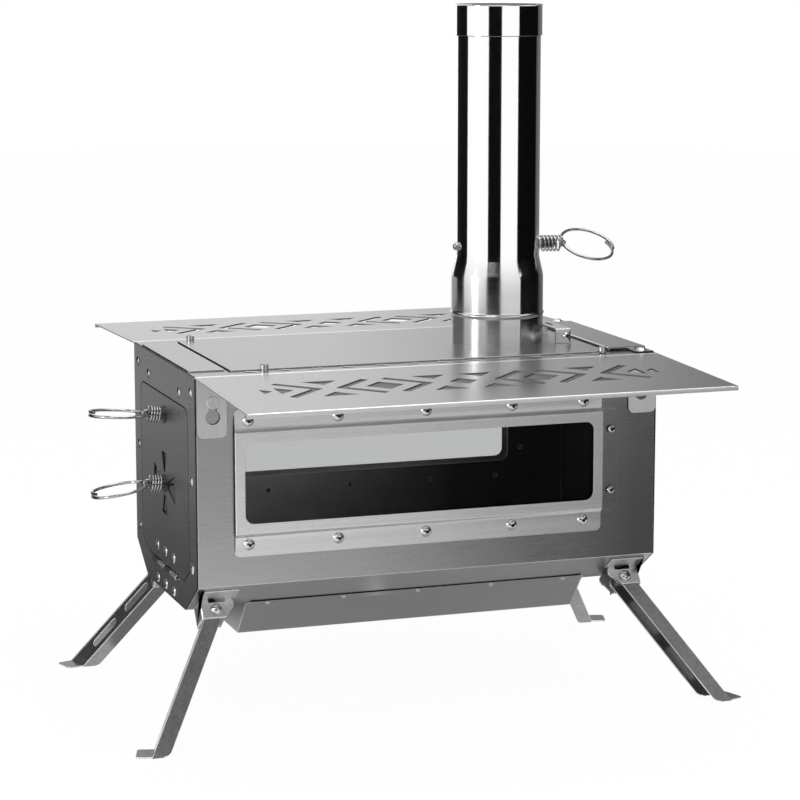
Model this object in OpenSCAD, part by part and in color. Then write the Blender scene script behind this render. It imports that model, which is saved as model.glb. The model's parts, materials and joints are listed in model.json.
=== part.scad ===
// Folding wood stove for a tent: a stainless sheet firebox on four folding legs, with a window
// front and rear, a drop-down door at one end, two hook-on side shelves and a flue pipe.
// X runs along the firebox towards the flue, Y to the rear and Z up.
// The origin is on the ground, under the middle of the firebox.

/* [Firebox] */
// Length of the firebox over its end plates
body_l = 440; // [420:5:480]
// Width of the firebox over its walls
body_w = 225; // [215:5:250]
// Height of the firebox from its floor to its top
body_h = 218; // [214:1:235]
// Clear height under the firebox floor
ground_gap = 104; // [98:1:120]
// How far the lower edges are cut in
chamfer_in = 43; // [42:0.5:46]
// How far the lower edges are cut up
chamfer_drop = 29; // [27:0.5:32]
// Thickness of the wrapped sheet
sheet_t = 1.2; // [1:0.1:1.6]
// Thickness of the end plates
end_t = 1.5; // [1.3:0.1:2]
// Thickness of the top plate
top_t = 1.5; // [1.2:0.1:2]

/* [Window] */
// Length of the firebox left beside the window opening
window_ends = 108; // [104:2:140]
// Height of the window opening
win_h = 73; // [60:1:76]
// Centre of the window from the middle of the firebox
win_shift = -10; // [-12:1:-6]
// Lower edge of the window opening above the firebox floor
win_up = 85; // [80:1:88]
// Corner radius of the window opening
win_r = 8; // [4:1:12]
// Border of the window frame round the opening
frame_border = 9; // [8:0.5:10]
// How far the window frame stands proud of the wall
frame_proud = 4.6; // [4.5:0.1:6]
// Thickness of the window frame sheet
frame_t = 1; // [0.8:0.1:1.2]
// Height of the frame's upper and lower screw flanges
frame_flange_h = 21; // [18:1:22]
// Thickness of the glass
glass_t = 3; // [2.5:0.1:3.1]

/* [Door] */
// Width of the firebox left beside the door
door_sides = 51; // [49:2:75]
// Height of the door
door_h = 158; // [154:1:162]
// Lower edge of the door above the firebox floor
door_up = 27; // [26:0.5:30]
// Radius of the door's upper corners
door_r = 12; // [6:1:20]
// Thickness of the door
door_t = 1.2; // [1:0.1:1.2]
// Length of the hinge
hinge_l = 88; // [72:2:100]
// Height of the latch spindle above the firebox floor
latch_up = 167; // [162:1:168]
// Height of the air spindle above the firebox floor
air_up = 103; // [98:1:104]
// Reach of the air rosette's upright petals
rosette_r = 29; // [26:1:31]
// Reach of the air rosette's level petals
rosette_side_r = 40; // [32:1:42]

/* [Handles] */
// Diameter of the handle coil wire
coil_wire = 2; // [1.8:0.1:2.2]
// Radius of the handle coils to the middle of the wire
coil_r = 6.9; // [6.6:0.1:7.5]
// Turns of a door handle coil
door_turns = 4; // [3:0.5:5]
// Rise of a door handle coil in one turn
door_pitch = 2.5; // [2.5:0.1:3]
// Turns of the damper handle coil
damper_turns = 5.5; // [3.5:1:6.5]
// Rise of the damper handle coil in one turn
damper_pitch = 3.8; // [3:0.1:5]
// Outer diameter of the handle rings
ring_od = 54; // [46:1:56]
// Diameter of the handle ring wire
ring_wire = 2.8; // [2.4:0.1:3]

/* [Flue] */
// Outer diameter of the flue pipe
pipe_od = 79; // [76:0.5:80]
// Outer diameter of the pipe's swaged base
base_od = 87; // [84:0.5:88]
// Outer diameter of the socket at the top
socket_od = 81.5; // [81:0.5:84]
// Thickness of the pipe sheet
pipe_t = 0.8; // [0.6:0.1:1]
// Height of the flue pipe
pipe_h = 315.5; // [280:0.5:360]
// Middle of the flue from the far end of the firebox
pipe_in = 115; // [114:1:120]
// Height of the damper shaft above the cook plate
damper_up = 91; // [87:1:100]
// Tilt of the damper plate at rest
damper_tilt = 26; // [20:1:40]

/* [Shelves] */
// Width of a side shelf
shelf_w = 169; // [150:1:180]
// Thickness of a side shelf
shelf_t = 1.5; // [1.2:0.1:2]
// Droop of a side shelf towards its outer edge
shelf_droop = 1.6; // [1:0.1:2.5]
// Height that a shelf lifts to come off its studs
shelf_lift = 13; // [12.5:0.5:14]

/* [Stand] */
// Angle of the legs from the square to the cut edge
leg_splay = 28.3; // [26:0.1:30]
// Width of a leg
leg_w = 14; // [13:0.5:15]
// Thickness of the leg and bracket sheet
leg_t = 1.5; // [1.2:0.1:1.8]
// Leg pivots from the ends of the firebox
pivot_in = 22; // [20:1:40]
// Leg pivots below the cut edge
pivot_h = 10.5; // [10:0.5:12]
// Ends of the heat-shield pan from the leg pivots
pan_in = 33; // [31:1:58]
// Depth of the heat-shield pan below the firebox floor
pan_h = 32; // [28:1:36]

/* [Hidden] */
$fn = 64;

// Finishes, as preview colours
steel_light = [0.78, 0.78, 0.78];
steel_mid = [0.6, 0.6, 0.61];
steel_dark = [0.38, 0.38, 0.39];
bright = [0.88, 0.88, 0.9];
glass_grey = [0.25, 0.27, 0.28, 0.5];

// Overrun of every cut, and the clearances
cut = 1;
loose = 0.3;
screw_gap = 0.1;
run_gap = 0.05;

// Faces and corners of the firebox
end_x = body_l / 2;
win_l = body_l - window_ends;
pipe_x = end_x - pipe_in;
pivot_x = end_x - pivot_in;
pan_x = pivot_x - pan_in;
wall_y = body_w / 2;
top_z = ground_gap + body_h;
bend_z = ground_gap + chamfer_drop;
chamfer_tilt = atan(chamfer_drop / chamfer_in);
chamfer_slant = norm([chamfer_in, chamfer_drop]);

// Top: vent slots, strips and the cook plate
slot_l = 13;
slot_w = 5.5;
slot_count = 12;
slot_edge = 12.5;
slot_y = wall_y - slot_edge;
slot_end = 55;
slot_reach = end_x - slot_end;
strip_t = 1.5;
strip_l = 33;
strip_side = 26.5;
strip_y = wall_y - strip_side;
strip_gap = 3;
strap_l = 39;
strap_tab_l = 18;
strap_rise = 2;
strap_side = 22.5;
strap_end_side = 3.5;
strap_screw_side = 11;
strap_y = wall_y - strap_side;
strap_end_y = wall_y - strap_end_side;
strap_screw_y = wall_y - strap_screw_side;
strap_r = 4;
cook_t = 1.5;
cook_side = 19.5;
cook_y = wall_y - cook_side;
cook_x0 = -end_x + end_t + strip_l + strip_gap;
cook_x1 = end_x - strap_l - strip_gap;
cook_top = top_z + cook_t;
cook_rim = 12;
cook_open_r = 10;
clamp_r = 3.7;
clamp_h = 4;
clamp_neck_r = 3.4;
clamp_front_in = 68;
clamp_rear_in = 51;
clamp_right_in = 6;
clamp_y = cook_y + clamp_neck_r + loose;
clamp_socket_r = 2;

// Lifting bridge on the cook plate
bridge_w = 15.5;
bridge_h = 14;
bridge_t = 1.2;
bridge_gap = 0.8;
bridge_front = 38;
bridge_rear = 20;
bridge_x = pipe_x + base_od / 2 + bridge_gap;
bridge_slot_l = 17;
bridge_slot_w = 3.5;
bridge_slot_y = -3;
bridge_screw_up = 7;
bridge_screw_r = 3.4;
bridge_screw_h = 2.6;
bridge_screw_side = 3;

// Screws and rivets
button_r = 5.3;
button_h = 3;
button_shank_r = 1.9;
hex_r = 1.7;
hex_d = 1.7;
rivet_r = 5;
rivet_h = 1.8;
rivet_shank_r = 1.6;
rivet_edge = 14.5;
rivet_rows_up = [44, 123, 202];
rivet_top_y = 57;
rivet_top_up = 196;

// Window frame, glass and stop
win_x = win_shift;
win_z = ground_gap + win_up + win_h / 2;
frame_l = win_l + 2 * frame_border;
frame_h = win_h + 2 * frame_border;
frame_slope = 3.6;
frame_corner = 5;
frame_all_h = frame_h + 2 * frame_flange_h;
wall_cut_border = 4;
glass_border = 6;
stop_l = 16;
stop_h = 95;
stop_t = 1.2;
stop_r = 6;
stop_x = win_x + frame_l / 2 + loose;
stop_screw_in = 8.5;
stop_screw_dz = 28.5;
stop_neck_r = 2.4;
stop_neck_h = 2.6;
stop_head_r = 3.6;
stop_head_h = 2;
win_screw_in = 12;
win_screw_end = 18;
win_screw_shares = [0, 0.26, 0.52, 0.78, 1];

// Door, its opening and its stop
door_w = body_w - door_sides;
door_z0 = ground_gap + door_up;
door_cut_y = 20;
door_cut_z = 11.5;
door_gap = 0.8;
door_back = -end_x + door_t;
stop_frame_out = 8;
stop_frame_in = 6;
stop_frame_t = 1.5;
stop_frame_x = -end_x + end_t;

// Hinge: the barrel lies in a slot under the door
barrel_r = 2.4;
pin_r = 1.1;
barrel_down = 3.2;
barrel_in = -0.3;
leaf_t = 1;
leaf_h = 19;
knuckles = 4;
knuckle_l = hinge_l / knuckles;
hinge_slot_h = 3.2;
hinge_slot_side = 2;
hinge_x = -end_x + barrel_in;
hinge_z = door_z0 - barrel_down;
hinge_rivet_pitch = 30;
hinge_rivet_up = 15.5;
hinge_rivet_down = 15.5;
hinge_rivet_head = 1.4;

// Door handles
latch_z = ground_gap + latch_up;
air_z = ground_gap + air_up;
spindle_r = 3;
flange_r = 8.2;
flange_t = 1.2;
core_r = 4.6;
core_l = 8;
spindle_in = 7;
pawl_t = 1.5;
pawl_w = 9;
pawl_l = 26;
pawl_x = stop_frame_x + stop_frame_t + loose;
disc_t = 1;
disc_edge = 4;
disc_turn = 9;
petals = 4;
petal_in = 11;
petal_in_w = 5;
petal_out_w = 20;
petal_side_w = 28;
nut_r = 4.6;
nut_t = 1.2;
latch_lean = -6;
latch_ring_tilt = 3;
air_lean = -4;
handle_roll = -3.5;
air_ring_tilt = 13;
damper_lean = 2;
damper_ring_tilt = 3;

// Handle coil and ring: the coil's last wire bends into an eye, which holds the ring
coil_rings = 8;
coil_sides = 6;
eye_gap = 0.35;
eye_r = ring_wire / 2 + coil_wire / 2 + eye_gap;
eye_step = 2.3;
bend_steps = 5;
eye_steps = 8;
eye_turn = 235;
bend_reach = 4.5;
ring_r = (ring_od - ring_wire) / 2;
ring_turn = 400;
ring_rings = 40;
ring_sides = 8;
ring_end_gap = 0.5;
ring_rise = ring_wire + ring_end_gap;

// Flue pipe
base_h = 65;
cone_h = 16;
socket_h = 30;
flare_h = 1.5;
bead_up = 28;
bead_r = 1.2;
rim_r = 0.6;
seam_w = 4;
seam_t = 0.5;
seam_side = -81;
pipe_z0 = cook_top;
pipe_top = pipe_z0 + pipe_h;
collar_t = 1.2;
collar_h = 22;
collar_r = base_od / 2 - pipe_t - loose;
damper_z = pipe_z0 + damper_up;
shaft_r = 3;
shaft_out = 2;
damper_side = 2.7;
damper_r = pipe_od / 2 - pipe_t - damper_side;
damper_t = 1.5;
nut_dome_r = 3.8;
nut_dome_h = 3.6;

// Baffle and grate inside the firebox
baffle_t = 1.5;
baffle_down = 32;
baffle_l = 112;
baffle_w = 136;
baffle_leg = 10;
grate_t = 1.5;
grate_h = 9;
grate_ends = 48;
grate_l = body_l - grate_ends;
grate_side = 5.5;
grate_w = body_w - 2 * chamfer_in - 2 * grate_side;
grate_slots = 12;
grate_slot_w = 8;
grate_slot_l = 90;

// Side shelves and their studs
tab_l = 28;
tab_h = 55;
tab_edge = 1;
tab_r = 6;
lip_h = 4;
stud_r = 3;
stud_head_r = 5.5;
stud_head_t = 1.4;
stud_down = 23;
stud_in_head_r = 4.6;
stud_in_head_t = 1;
stud_side = 0.2;
key_side = 0.7;
stud_in = 16;
stud_x = end_x - stud_in;
stud_z = top_z - stud_down;
band_y = 80;
band_half = 33;
band_for_l = 440;
band_stretch = body_l / band_for_l;
arm_w = 7;
diamond_half = 17;
small_diamond_half = 13;
tri_half = 15.5;
tri_h = 17;
cross_near = 22;
cross_far = 122;
cross_gap = 6;
cell_mid = 72;
end_tri_x = 168;
end_tri_l = 14;
end_tri_half = 13;
tip_tri_x = 182;
tip_tri_l = 9;
tip_tri_half = 9;

// Leg brackets on the cut edges
bracket_s = 26;
bracket_deep = 24;
bracket_h = 19.5;
bracket_top_l = 31;
bracket_low_l = 22;
bracket_flange_l = 33;
bracket_flange_s = 19;
lobe_r = 6;
relief_l = 15;
relief_in = 8;
relief_w = 4;
stop_gap = 0.2;
bolt_r = 2.5;
bolt_head_r = 5;
bolt_head_h = 2.8;
bolt_washer_r = 6;
bolt_washer_t = 0.8;
bolt_hex_r = 2.1;
bolt_nut_r = 4.6;
bolt_nut_h = 4;
bolt_tip = 1;

// Legs: where they stand between the bracket walls, and where they meet the ground
leg_s0 = bracket_s + leg_t + loose;
leg_s1 = bracket_s + bracket_deep - leg_t - loose;
leg_half = leg_w / 2;
leg_long = 175;
web_start = 5;
web_in = 0.2;
leg_slot_w = 8;
leg_slot_l = 38;
leg_slot_at = [22, 76];
toe_r = 8;
foot_t = 1.5;
foot_r = 3;
foot_in = 1;
foot_back = 1;
bracket_side_x = pivot_x + leg_half / cos(leg_splay)
    + (bracket_h - pivot_h) * tan(leg_splay) + stop_gap + leg_t;

// Heat-shield pan
pan_t = 1;
pan_flange = 9.5;
pan_low_y = 45;
pan_corner = 7;
pan_screw_end = 21;
pan_screw_shares = [-1, -0.5, 0, 0.5, 1];
pan_screws_x = [for (share = pan_screw_shares) share * (pan_x - pan_screw_end)];
pan_screw_in = 4.6;
pan_screw_r = 2.8;
pan_screw_h = 1.6;
pan_shank_r = 1.5;

// Places of the screws that hold the cook plate
function clamp_places() = [
    [clamp_front_in - end_x, -clamp_y], [clamp_rear_in - end_x, clamp_y],
    [cook_x1 - clamp_right_in, -clamp_y], [cook_x1 - clamp_right_in, clamp_y]
];

// Cross-section of the firebox, inset by t, up to the height up
function section(t, up) = let (
        y0 = wall_y - t,
        y1 = wall_y - chamfer_in - t * tan(chamfer_tilt / 2),
        z0 = bend_z + t * tan((90 - chamfer_tilt) / 2),
        z1 = ground_gap + t
    ) [[-y0, up], [-y0, z0], [-y1, z1], [y1, z1], [y0, z0], [y0, up]];

// Extrudes a (y, z) outline between two places along X
module along_x(x0, x1) {
    translate([x0, 0, 0])
        rotate([90, 0, 90])
            linear_extrude(x1 - x0)
                children();
}

// Extrudes an (x, z) outline between two places along Y
module along_y(y0, y1) {
    translate([0, y1, 0])
        rotate([90, 0, 0])
            linear_extrude(y1 - y0)
                children();
}

// Frame of the front cut edge: Y runs down along it, Z points square into the firebox
module on_chamfer() {
    translate([0, -wall_y, bend_z])
        rotate([-chamfer_tilt, 0, 0])
            children();
}

// The same piece at the front and the rear
module both_sides() {
    children();
    mirror([0, 1, 0])
        children();
}

// Rectangle round its centre with true arc corners
module rounded(l, h, r) {
    square([l - 2 * r, h], center = true);
    square([l, h - 2 * r], center = true);
    for (x = [-1, 1], y = [-1, 1])
        translate([x * (l / 2 - r), y * (h / 2 - r)])
            circle(r);
}

// Slot with round ends, along x
module obround(l, w) {
    square([l - w, w], center = true);
    for (x = [-1, 1])
        translate([x * (l - w) / 2, 0])
            circle(w / 2);
}

// Low dome standing on z = 0
module dome(r, h) {
    big = (r * r + h * h) / (2 * h);
    rotate_extrude()
        intersection() {
            translate([0, h - big])
                circle(big);
            square([r, h]);
        }
}

// Button-head screw with a hexagon socket, its head above z = 0
module button_screw(r, h, socket_r, socket_d, shank_r, shank_l) {
    difference() {
        dome(r, h);
        translate([0, 0, h - socket_d])
            cylinder(r = socket_r, h = socket_d + cut, $fn = 6);
    }
    translate([0, 0, -shank_l])
        cylinder(r = shank_r, h = shank_l);
}

// Domed rivet, its head above z = 0
module rivet(r, h, shank_r, shank_l) {
    dome(r, h);
    translate([0, 0, -shank_l])
        cylinder(r = shank_r, h = shank_l);
}

function unit(v) = v / norm(v);

// Direction of travel at each point of a path
function headings(path) = [
    for (i = [0 : len(path) - 1])
        unit(path[min(i + 1, len(path) - 1)] - path[max(i - 1, 0)])
];

// A side vector carried along the path without twisting
function carried(t, first) = [
    for (i = 0, u = unit(first - (first * t[0]) * t[0]); i < len(t);
         i = i + 1,
         u = unit(u - (u * t[min(i, len(t) - 1)]) * t[min(i, len(t) - 1)]))
        u
];

// Least distance between the surfaces of wire turns that are not neighbours
function least_gap(path, wire, skip) = min([
    for (i = [0 : len(path) - 1 - skip], j = [i + skip : len(path) - 1])
        norm(path[i] - path[j])
]) - wire;

// Closed tube along a path of points
module tube(path, r, sides, first) {
    t = headings(path);
    u = carried(t, first);
    n = len(path);
    points = [
        for (i = [0 : n - 1], k = [0 : sides - 1])
            path[i] + r * (cos(360 * k / sides) * u[i] + sin(360 * k / sides) * cross(t[i], u[i]))
    ];
    walls = [
        for (i = [0 : n - 2], k = [0 : sides - 1], half = [0, 1])
            let (a = i * sides + k, b = i * sides + (k + 1) % sides)
                half == 0 ? [a, a + sides, b] : [b, a + sides, b + sides]
    ];
    start_cap = [for (k = [1 : sides - 2]) [0, k, k + 1]];
    end_cap = [for (k = [1 : sides - 2]) [(n - 1) * sides, (n - 1) * sides + k + 1, (n - 1) * sides + k]];
    polyhedron(points, concat(walls, start_cap, end_cap));
}

// End of the turns and middle of the eye, out from the face that the coil stands on
function coil_end(turns, pitch) = coil_wire + turns * pitch;
function eye_at(turns, pitch) = coil_end(turns, pitch) + eye_step;

// A coil that leans stands out a little, so that its low side just meets the flange
function lean_out(lean) = (coil_r + coil_wire / 2) * abs(sin(lean));

// Handle coil about the X axis: a straight start, the turns, a bend and the eye
function coil_path(turns, pitch) = let (
        x1 = coil_end(turns, pitch),
        xe = eye_at(turns, pitch),
        a0 = 90 - 360 * turns,
        n = round(turns * coil_rings),
        p0 = [x1, 0, coil_r],
        p3 = [xe, 0, eye_r],
        p1 = p0 + bend_reach * unit([pitch, -2 * PI * coil_r, 0]),
        p2 = p3 - [bend_reach / 2, 0, 0]
    ) concat(
        [[0, coil_r * cos(a0), coil_r * sin(a0)]],
        [
            for (i = [0 : n])
                let (a = a0 + 360 * turns * i / n)
                    [coil_wire + turns * pitch * i / n, coil_r * cos(a), coil_r * sin(a)]
        ],
        [
            for (i = [1 : bend_steps])
                let (q = i / bend_steps)
                    pow(1 - q, 3) * p0 + 3 * pow(1 - q, 2) * q * p1
                    + 3 * (1 - q) * q * q * p2 + q * q * q * p3
        ],
        [
            for (i = [1 : eye_steps])
                let (a = 90 - eye_turn * i / eye_steps)
                    [xe + eye_r * cos(a), 0, eye_r * sin(a)]
        ]
    );

// Handle ring through the eye: a little more than a full turn, so that its ends lie side by side
function ring_path() = [
    for (i = [0 : ring_rings])
        let (a = ring_turn * (i / ring_rings - 0.5))
            [ring_r * (1 - cos(a)), ring_r * sin(a), ring_rise * a / 360]
];

module handle_coil(turns, pitch, lean) {
    translate([lean_out(lean), 0, 0])
        rotate([0, lean, 0])
            tube(coil_path(turns, pitch), coil_wire / 2, coil_sides, [0, 0, 1]);
}

module handle_ring(turns, pitch, lean, tilt) {
    translate([lean_out(lean), 0, 0])
        rotate([0, lean, 0])
            translate([eye_at(turns, pitch), 0, 0])
                rotate([0, tilt, 0])
                    tube(ring_path(), ring_wire / 2, ring_sides, [0, 0, 1]);
}

// Puts a handle on the door's outer face, its axis pointing away from the firebox
module on_door(z, out) {
    translate([-end_x - out, 0, z])
        mirror([1, 0, 0])
            children();
}

// Puts a handle on the flue pipe at the damper shaft
module on_damper(out) {
    translate([pipe_x + pipe_od / 2 + out, 0, damper_z])
        rotate([damper_tilt, 0, 0])
            children();
}

// Window: outlines seen from the front, as (x, z)
module window_outline(border, r) {
    translate([win_x, win_z])
        rounded(win_l + 2 * border, win_h + 2 * border, r);
}

// Places of the screws in the frame's flanges
function window_screw_places() = [
    for (share = win_screw_shares, up = [-1, 1])
        [
            win_x - frame_l / 2 + win_screw_end - frame_corner + share * (frame_l - 2 * win_screw_end + frame_corner),
            win_z + up * (frame_all_h / 2 - win_screw_in + frame_t)
        ]
];

function stop_screw_places() = [
    for (up = [-1, 1])
        [stop_x + stop_screw_in, win_z + up * stop_screw_dz]
];

function stud_places() = [for (side = [-1, 1]) [side * stud_x, stud_z]];

module holes_in_front_wall() {
    along_y(-wall_y - cut, -wall_y + sheet_t + cut) {
        window_outline(wall_cut_border, win_r);
        for (p = window_screw_places())
            translate(p)
                circle(button_shank_r + screw_gap);
        for (p = stop_screw_places())
            translate(p)
                circle(button_shank_r + screw_gap);
        for (p = stud_places())
            translate(p)
                circle(stud_r + screw_gap);
    }
    on_chamfer()
        for (x = pan_screws_x)
            translate([x, chamfer_slant - pan_screw_in, -cut])
                cylinder(r = pan_shank_r + screw_gap, h = sheet_t + 2 * cut);
}

module firebox_wrap() {
    color(steel_mid)
        difference() {
            along_x(-end_x + end_t, end_x - end_t)
                difference() {
                    polygon(section(0, top_z - top_t));
                    polygon(section(sheet_t, top_z));
                }
            both_sides()
                holes_in_front_wall();
        }
}

// End plates: outlines seen along X, as (y, z)
module rivet_places() {
    for (side = [-1, 1]) {
        for (up = rivet_rows_up)
            translate([side * (wall_y - rivet_edge), ground_gap + up])
                children();
        translate([side * rivet_top_y, ground_gap + rivet_top_up])
            children();
    }
}

module hinge_rivet_places(z) {
    for (i = [-1, 0, 1])
        translate([i * hinge_rivet_pitch, z])
            children();
}

// Door outline grown by g on every side
module door_outline(g) {
    half = door_w / 2 + g;
    top = door_z0 + door_h + g;
    tilt = atan(door_cut_z / door_cut_y);
    r = door_r + g;
    y1 = door_w / 2 - door_cut_y + g * tan(tilt / 2);
    z1 = door_z0 + door_cut_z - g * tan((90 - tilt) / 2);
    polygon([
        [-y1, door_z0 - g], [y1, door_z0 - g], [half, z1], [half, top - r],
        [half - r, top], [r - half, top], [-half, top - r], [-half, z1]
    ]);
    for (side = [-1, 1])
        translate([side * (half - r), top - r])
            circle(r);
}

module end_plate_outline() {
    difference() {
        polygon(section(0, top_z));
        rivet_places()
            circle(rivet_shank_r + screw_gap);
    }
}

module door_end_plate() {
    color(steel_dark)
        along_x(-end_x, -end_x + end_t)
            difference() {
                end_plate_outline();
                door_outline(door_gap);
                translate([-hinge_l / 2 - hinge_slot_side, hinge_z - hinge_slot_h])
                    square([hinge_l + 2 * hinge_slot_side, barrel_down + hinge_slot_h]);
                hinge_rivet_places(hinge_z - hinge_rivet_down)
                    circle(rivet_shank_r + screw_gap);
            }
}

module far_end_plate() {
    color(steel_dark)
        along_x(end_x - end_t, end_x)
            end_plate_outline();
}

// Rim welded behind the door opening, which the door closes against
module door_stop_frame() {
    color(steel_dark)
        along_x(stop_frame_x, stop_frame_x + stop_frame_t)
            difference() {
                door_outline(stop_frame_out);
                door_outline(-stop_frame_in);
                translate([-hinge_l / 2 - hinge_slot_side, door_z0 - stop_frame_out - cut])
                    square([hinge_l + 2 * hinge_slot_side, stop_frame_out + stop_frame_in + 2 * cut]);
            }
}

// Top plate: the cooking opening, the vent slots and the screw holes
module top_plate() {
    open_l = cook_x1 - cook_x0 - 2 * cook_rim;
    color(steel_light)
        translate([0, 0, top_z - top_t])
            linear_extrude(top_t)
                difference() {
                    translate([-end_x + end_t, -wall_y])
                        square([body_l - 2 * end_t, body_w]);
                    translate([(cook_x0 + cook_x1) / 2, 0])
                        rounded(open_l, 2 * (cook_y - cook_rim), cook_open_r);
                    for (i = [0 : slot_count - 1], side = [-1, 1])
                        translate([slot_reach * (2 * i / (slot_count - 1) - 1), side * slot_y])
                            obround(slot_l, slot_w);
                    for (p = clamp_places())
                        translate(p)
                            circle(button_shank_r + screw_gap);
                    for (side = [-1, 1])
                        translate([end_x - strap_tab_l / 2 - end_t, side * strap_screw_y])
                            circle(button_shank_r + screw_gap);
                }
}

module left_top_strip() {
    color(steel_light)
        translate([-end_x + end_t, -strip_y, top_z])
            cube([strip_l, 2 * strip_y, strip_t]);
}

module cook_plate() {
    color(steel_light)
        difference() {
            translate([cook_x0, -cook_y, top_z])
                cube([cook_x1 - cook_x0, 2 * cook_y, cook_t]);
            translate([pipe_x, 0, top_z - cut])
                cylinder(r = collar_r - collar_t, h = cook_t + 2 * cut);
        }
}

// Strap over the right end: a raised plate with a turned-down inner edge and a stepped tab each end
module right_top_strap() {
    x0 = end_x - end_t - strap_l + strip_gap / 2;
    x1 = end_x - end_t;
    tab_x = x1 - strap_tab_l;
    color(steel_light)
        difference() {
            union() {
                translate([x0, -strap_y, top_z + strap_rise])
                    cube([x1 - x0, 2 * strap_y, strip_t]);
                translate([x0, -strap_y, top_z])
                    cube([strip_t, 2 * strap_y, strap_rise + strip_t]);
                both_sides() {
                    translate([tab_x, -strap_y, top_z])
                        cube([strap_tab_l, strip_t, strap_rise + strip_t]);
                    translate([0, 0, top_z])
                        linear_extrude(strip_t)
                            difference() {
                                translate([tab_x, -strap_end_y])
                                    square([strap_tab_l, strap_end_y - strap_y + strip_t]);
                                translate([tab_x, -strap_end_y])
                                    difference() {
                                        square(strap_r);
                                        translate([strap_r, strap_r])
                                            circle(strap_r);
                                    }
                            }
                }
            }
            for (side = [-1, 1])
                translate([x1 - strap_tab_l / 2, side * strap_screw_y, top_z - cut])
                    cylinder(r = button_shank_r + screw_gap, h = strip_t + 2 * cut);
        }
}

module plate_clamp_screws() {
    color(bright)
        for (p = clamp_places())
            translate([p[0], p[1], top_z]) {
                cylinder(r = clamp_neck_r, h = cook_t);
                translate([0, 0, cook_t])
                    difference() {
                        cylinder(r = clamp_r, h = clamp_h);
                        translate([0, 0, clamp_h / 2])
                            cylinder(r = clamp_socket_r, h = clamp_h / 2 + cut, $fn = 6);
                    }
                translate([0, 0, -top_t])
                    cylinder(r = button_shank_r, h = top_t);
            }
}

module strap_screws() {
    color(bright)
        for (side = [-1, 1])
            translate([end_x - end_t - strap_tab_l / 2, side * strap_screw_y, top_z + strip_t])
                button_screw(button_r, button_h, hex_r, hex_d, button_shank_r, strip_t + top_t);
}

module end_plate_rivets() {
    color(steel_mid)
        for (side = [-1, 1])
            multiply_on_end(side)
                rivet(rivet_r, rivet_h, rivet_shank_r, end_t);
}

// Repeats a fastener at each rivet place of one end plate, pointing outwards
module multiply_on_end(side) {
    for (y_side = [-1, 1]) {
        for (up = rivet_rows_up)
            translate([side * end_x, y_side * (wall_y - rivet_edge), ground_gap + up])
                rotate([0, side * 90, 0])
                    children();
        translate([side * end_x, y_side * rivet_top_y, ground_gap + rivet_top_up])
            rotate([0, side * 90, 0])
                children();
    }
}

// Lifting bridge: an arch of strip on the cook plate, beside the flue
module lift_bridge() {
    color(steel_light)
        difference() {
            translate([bridge_x, -bridge_front, cook_top])
                difference() {
                    cube([bridge_w, bridge_front + bridge_rear, bridge_h]);
                    translate([-cut, bridge_t, -cut])
                        cube([bridge_w + 2 * cut, bridge_front + bridge_rear - 2 * bridge_t,
                              bridge_h - bridge_t + cut]);
                }
            translate([bridge_x + bridge_w / 2, bridge_slot_y, cook_top + bridge_h - bridge_t - cut])
                linear_extrude(bridge_t + 2 * cut)
                    rotate(90)
                        obround(bridge_slot_l, bridge_slot_w);
            translate([bridge_x + bridge_w - bridge_screw_side - bridge_t, 0, cook_top + bridge_screw_up])
                along_y(-bridge_front - cut, -bridge_front + bridge_t + cut)
                    circle(button_shank_r + screw_gap);
        }
}

module lift_bridge_screw() {
    color(bright)
        translate([bridge_x + bridge_w - bridge_screw_side - bridge_t, -bridge_front,
                   cook_top + bridge_screw_up])
            rotate([90, 0, 0])
                button_screw(bridge_screw_r, bridge_screw_h, hex_r, hex_d,
                             button_shank_r, bridge_t + cut);
}

module flue_collar() {
    color(steel_mid)
        translate([pipe_x, 0, cook_top])
            difference() {
                cylinder(r = collar_r, h = collar_h);
                translate([0, 0, -cut])
                    cylinder(r = collar_r - collar_t, h = collar_h + 2 * cut);
            }
}

// Pressed window frame: a proud face on two screw flanges, open at the right for the glass
module window_frame() {
    y_face = frame_proud;
    z_top = frame_h / 2;
    z_all = frame_all_h / 2;
    translate([0, -wall_y, 0])
        difference() {
            intersection() {
                union() {
                    along_x(win_x - frame_l / 2, win_x + frame_l / 2)
                        translate([0, win_z])
                            polygon([
                                [0, z_all], [0, z_top + frame_slope - frame_t],
                                [frame_t - y_face, z_top - frame_t],
                                [frame_t - y_face, frame_t - z_top],
                                [0, frame_t - z_top - frame_slope], [0, -z_all], [-frame_t, -z_all],
                                [-frame_t, -z_top - frame_slope], [-y_face, -z_top],
                                [-y_face, z_top], [-frame_t, z_top + frame_slope], [-frame_t, z_all]
                            ]);
                    translate([win_x - frame_l / 2, -y_face, win_z - z_top])
                        cube([frame_t, y_face, frame_h]);
                }
                along_y(-y_face - cut, cut)
                    translate([win_x, win_z])
                        rounded(frame_l, frame_all_h, frame_corner);
            }
            along_y(-y_face - cut, cut) {
                window_outline(0, win_r);
                for (p = window_screw_places())
                    translate(p)
                        circle(button_shank_r + screw_gap);
            }
        }
}

module front_window_frame() {
    color(steel_light)
        window_frame();
}

module rear_window_frame() {
    color(steel_light)
        mirror([0, 1, 0])
            window_frame();
}

module glass() {
    gap = (frame_proud - frame_t - glass_t) / 2;
    along_y(-wall_y - gap - glass_t, -wall_y - gap)
        translate([win_x, win_z])
            square([win_l + 2 * glass_border, win_h + 2 * glass_border], center = true);
}

module front_glass() {
    color(glass_grey)
        glass();
}

module rear_glass() {
    color(glass_grey)
        mirror([0, 1, 0])
            glass();
}

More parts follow.
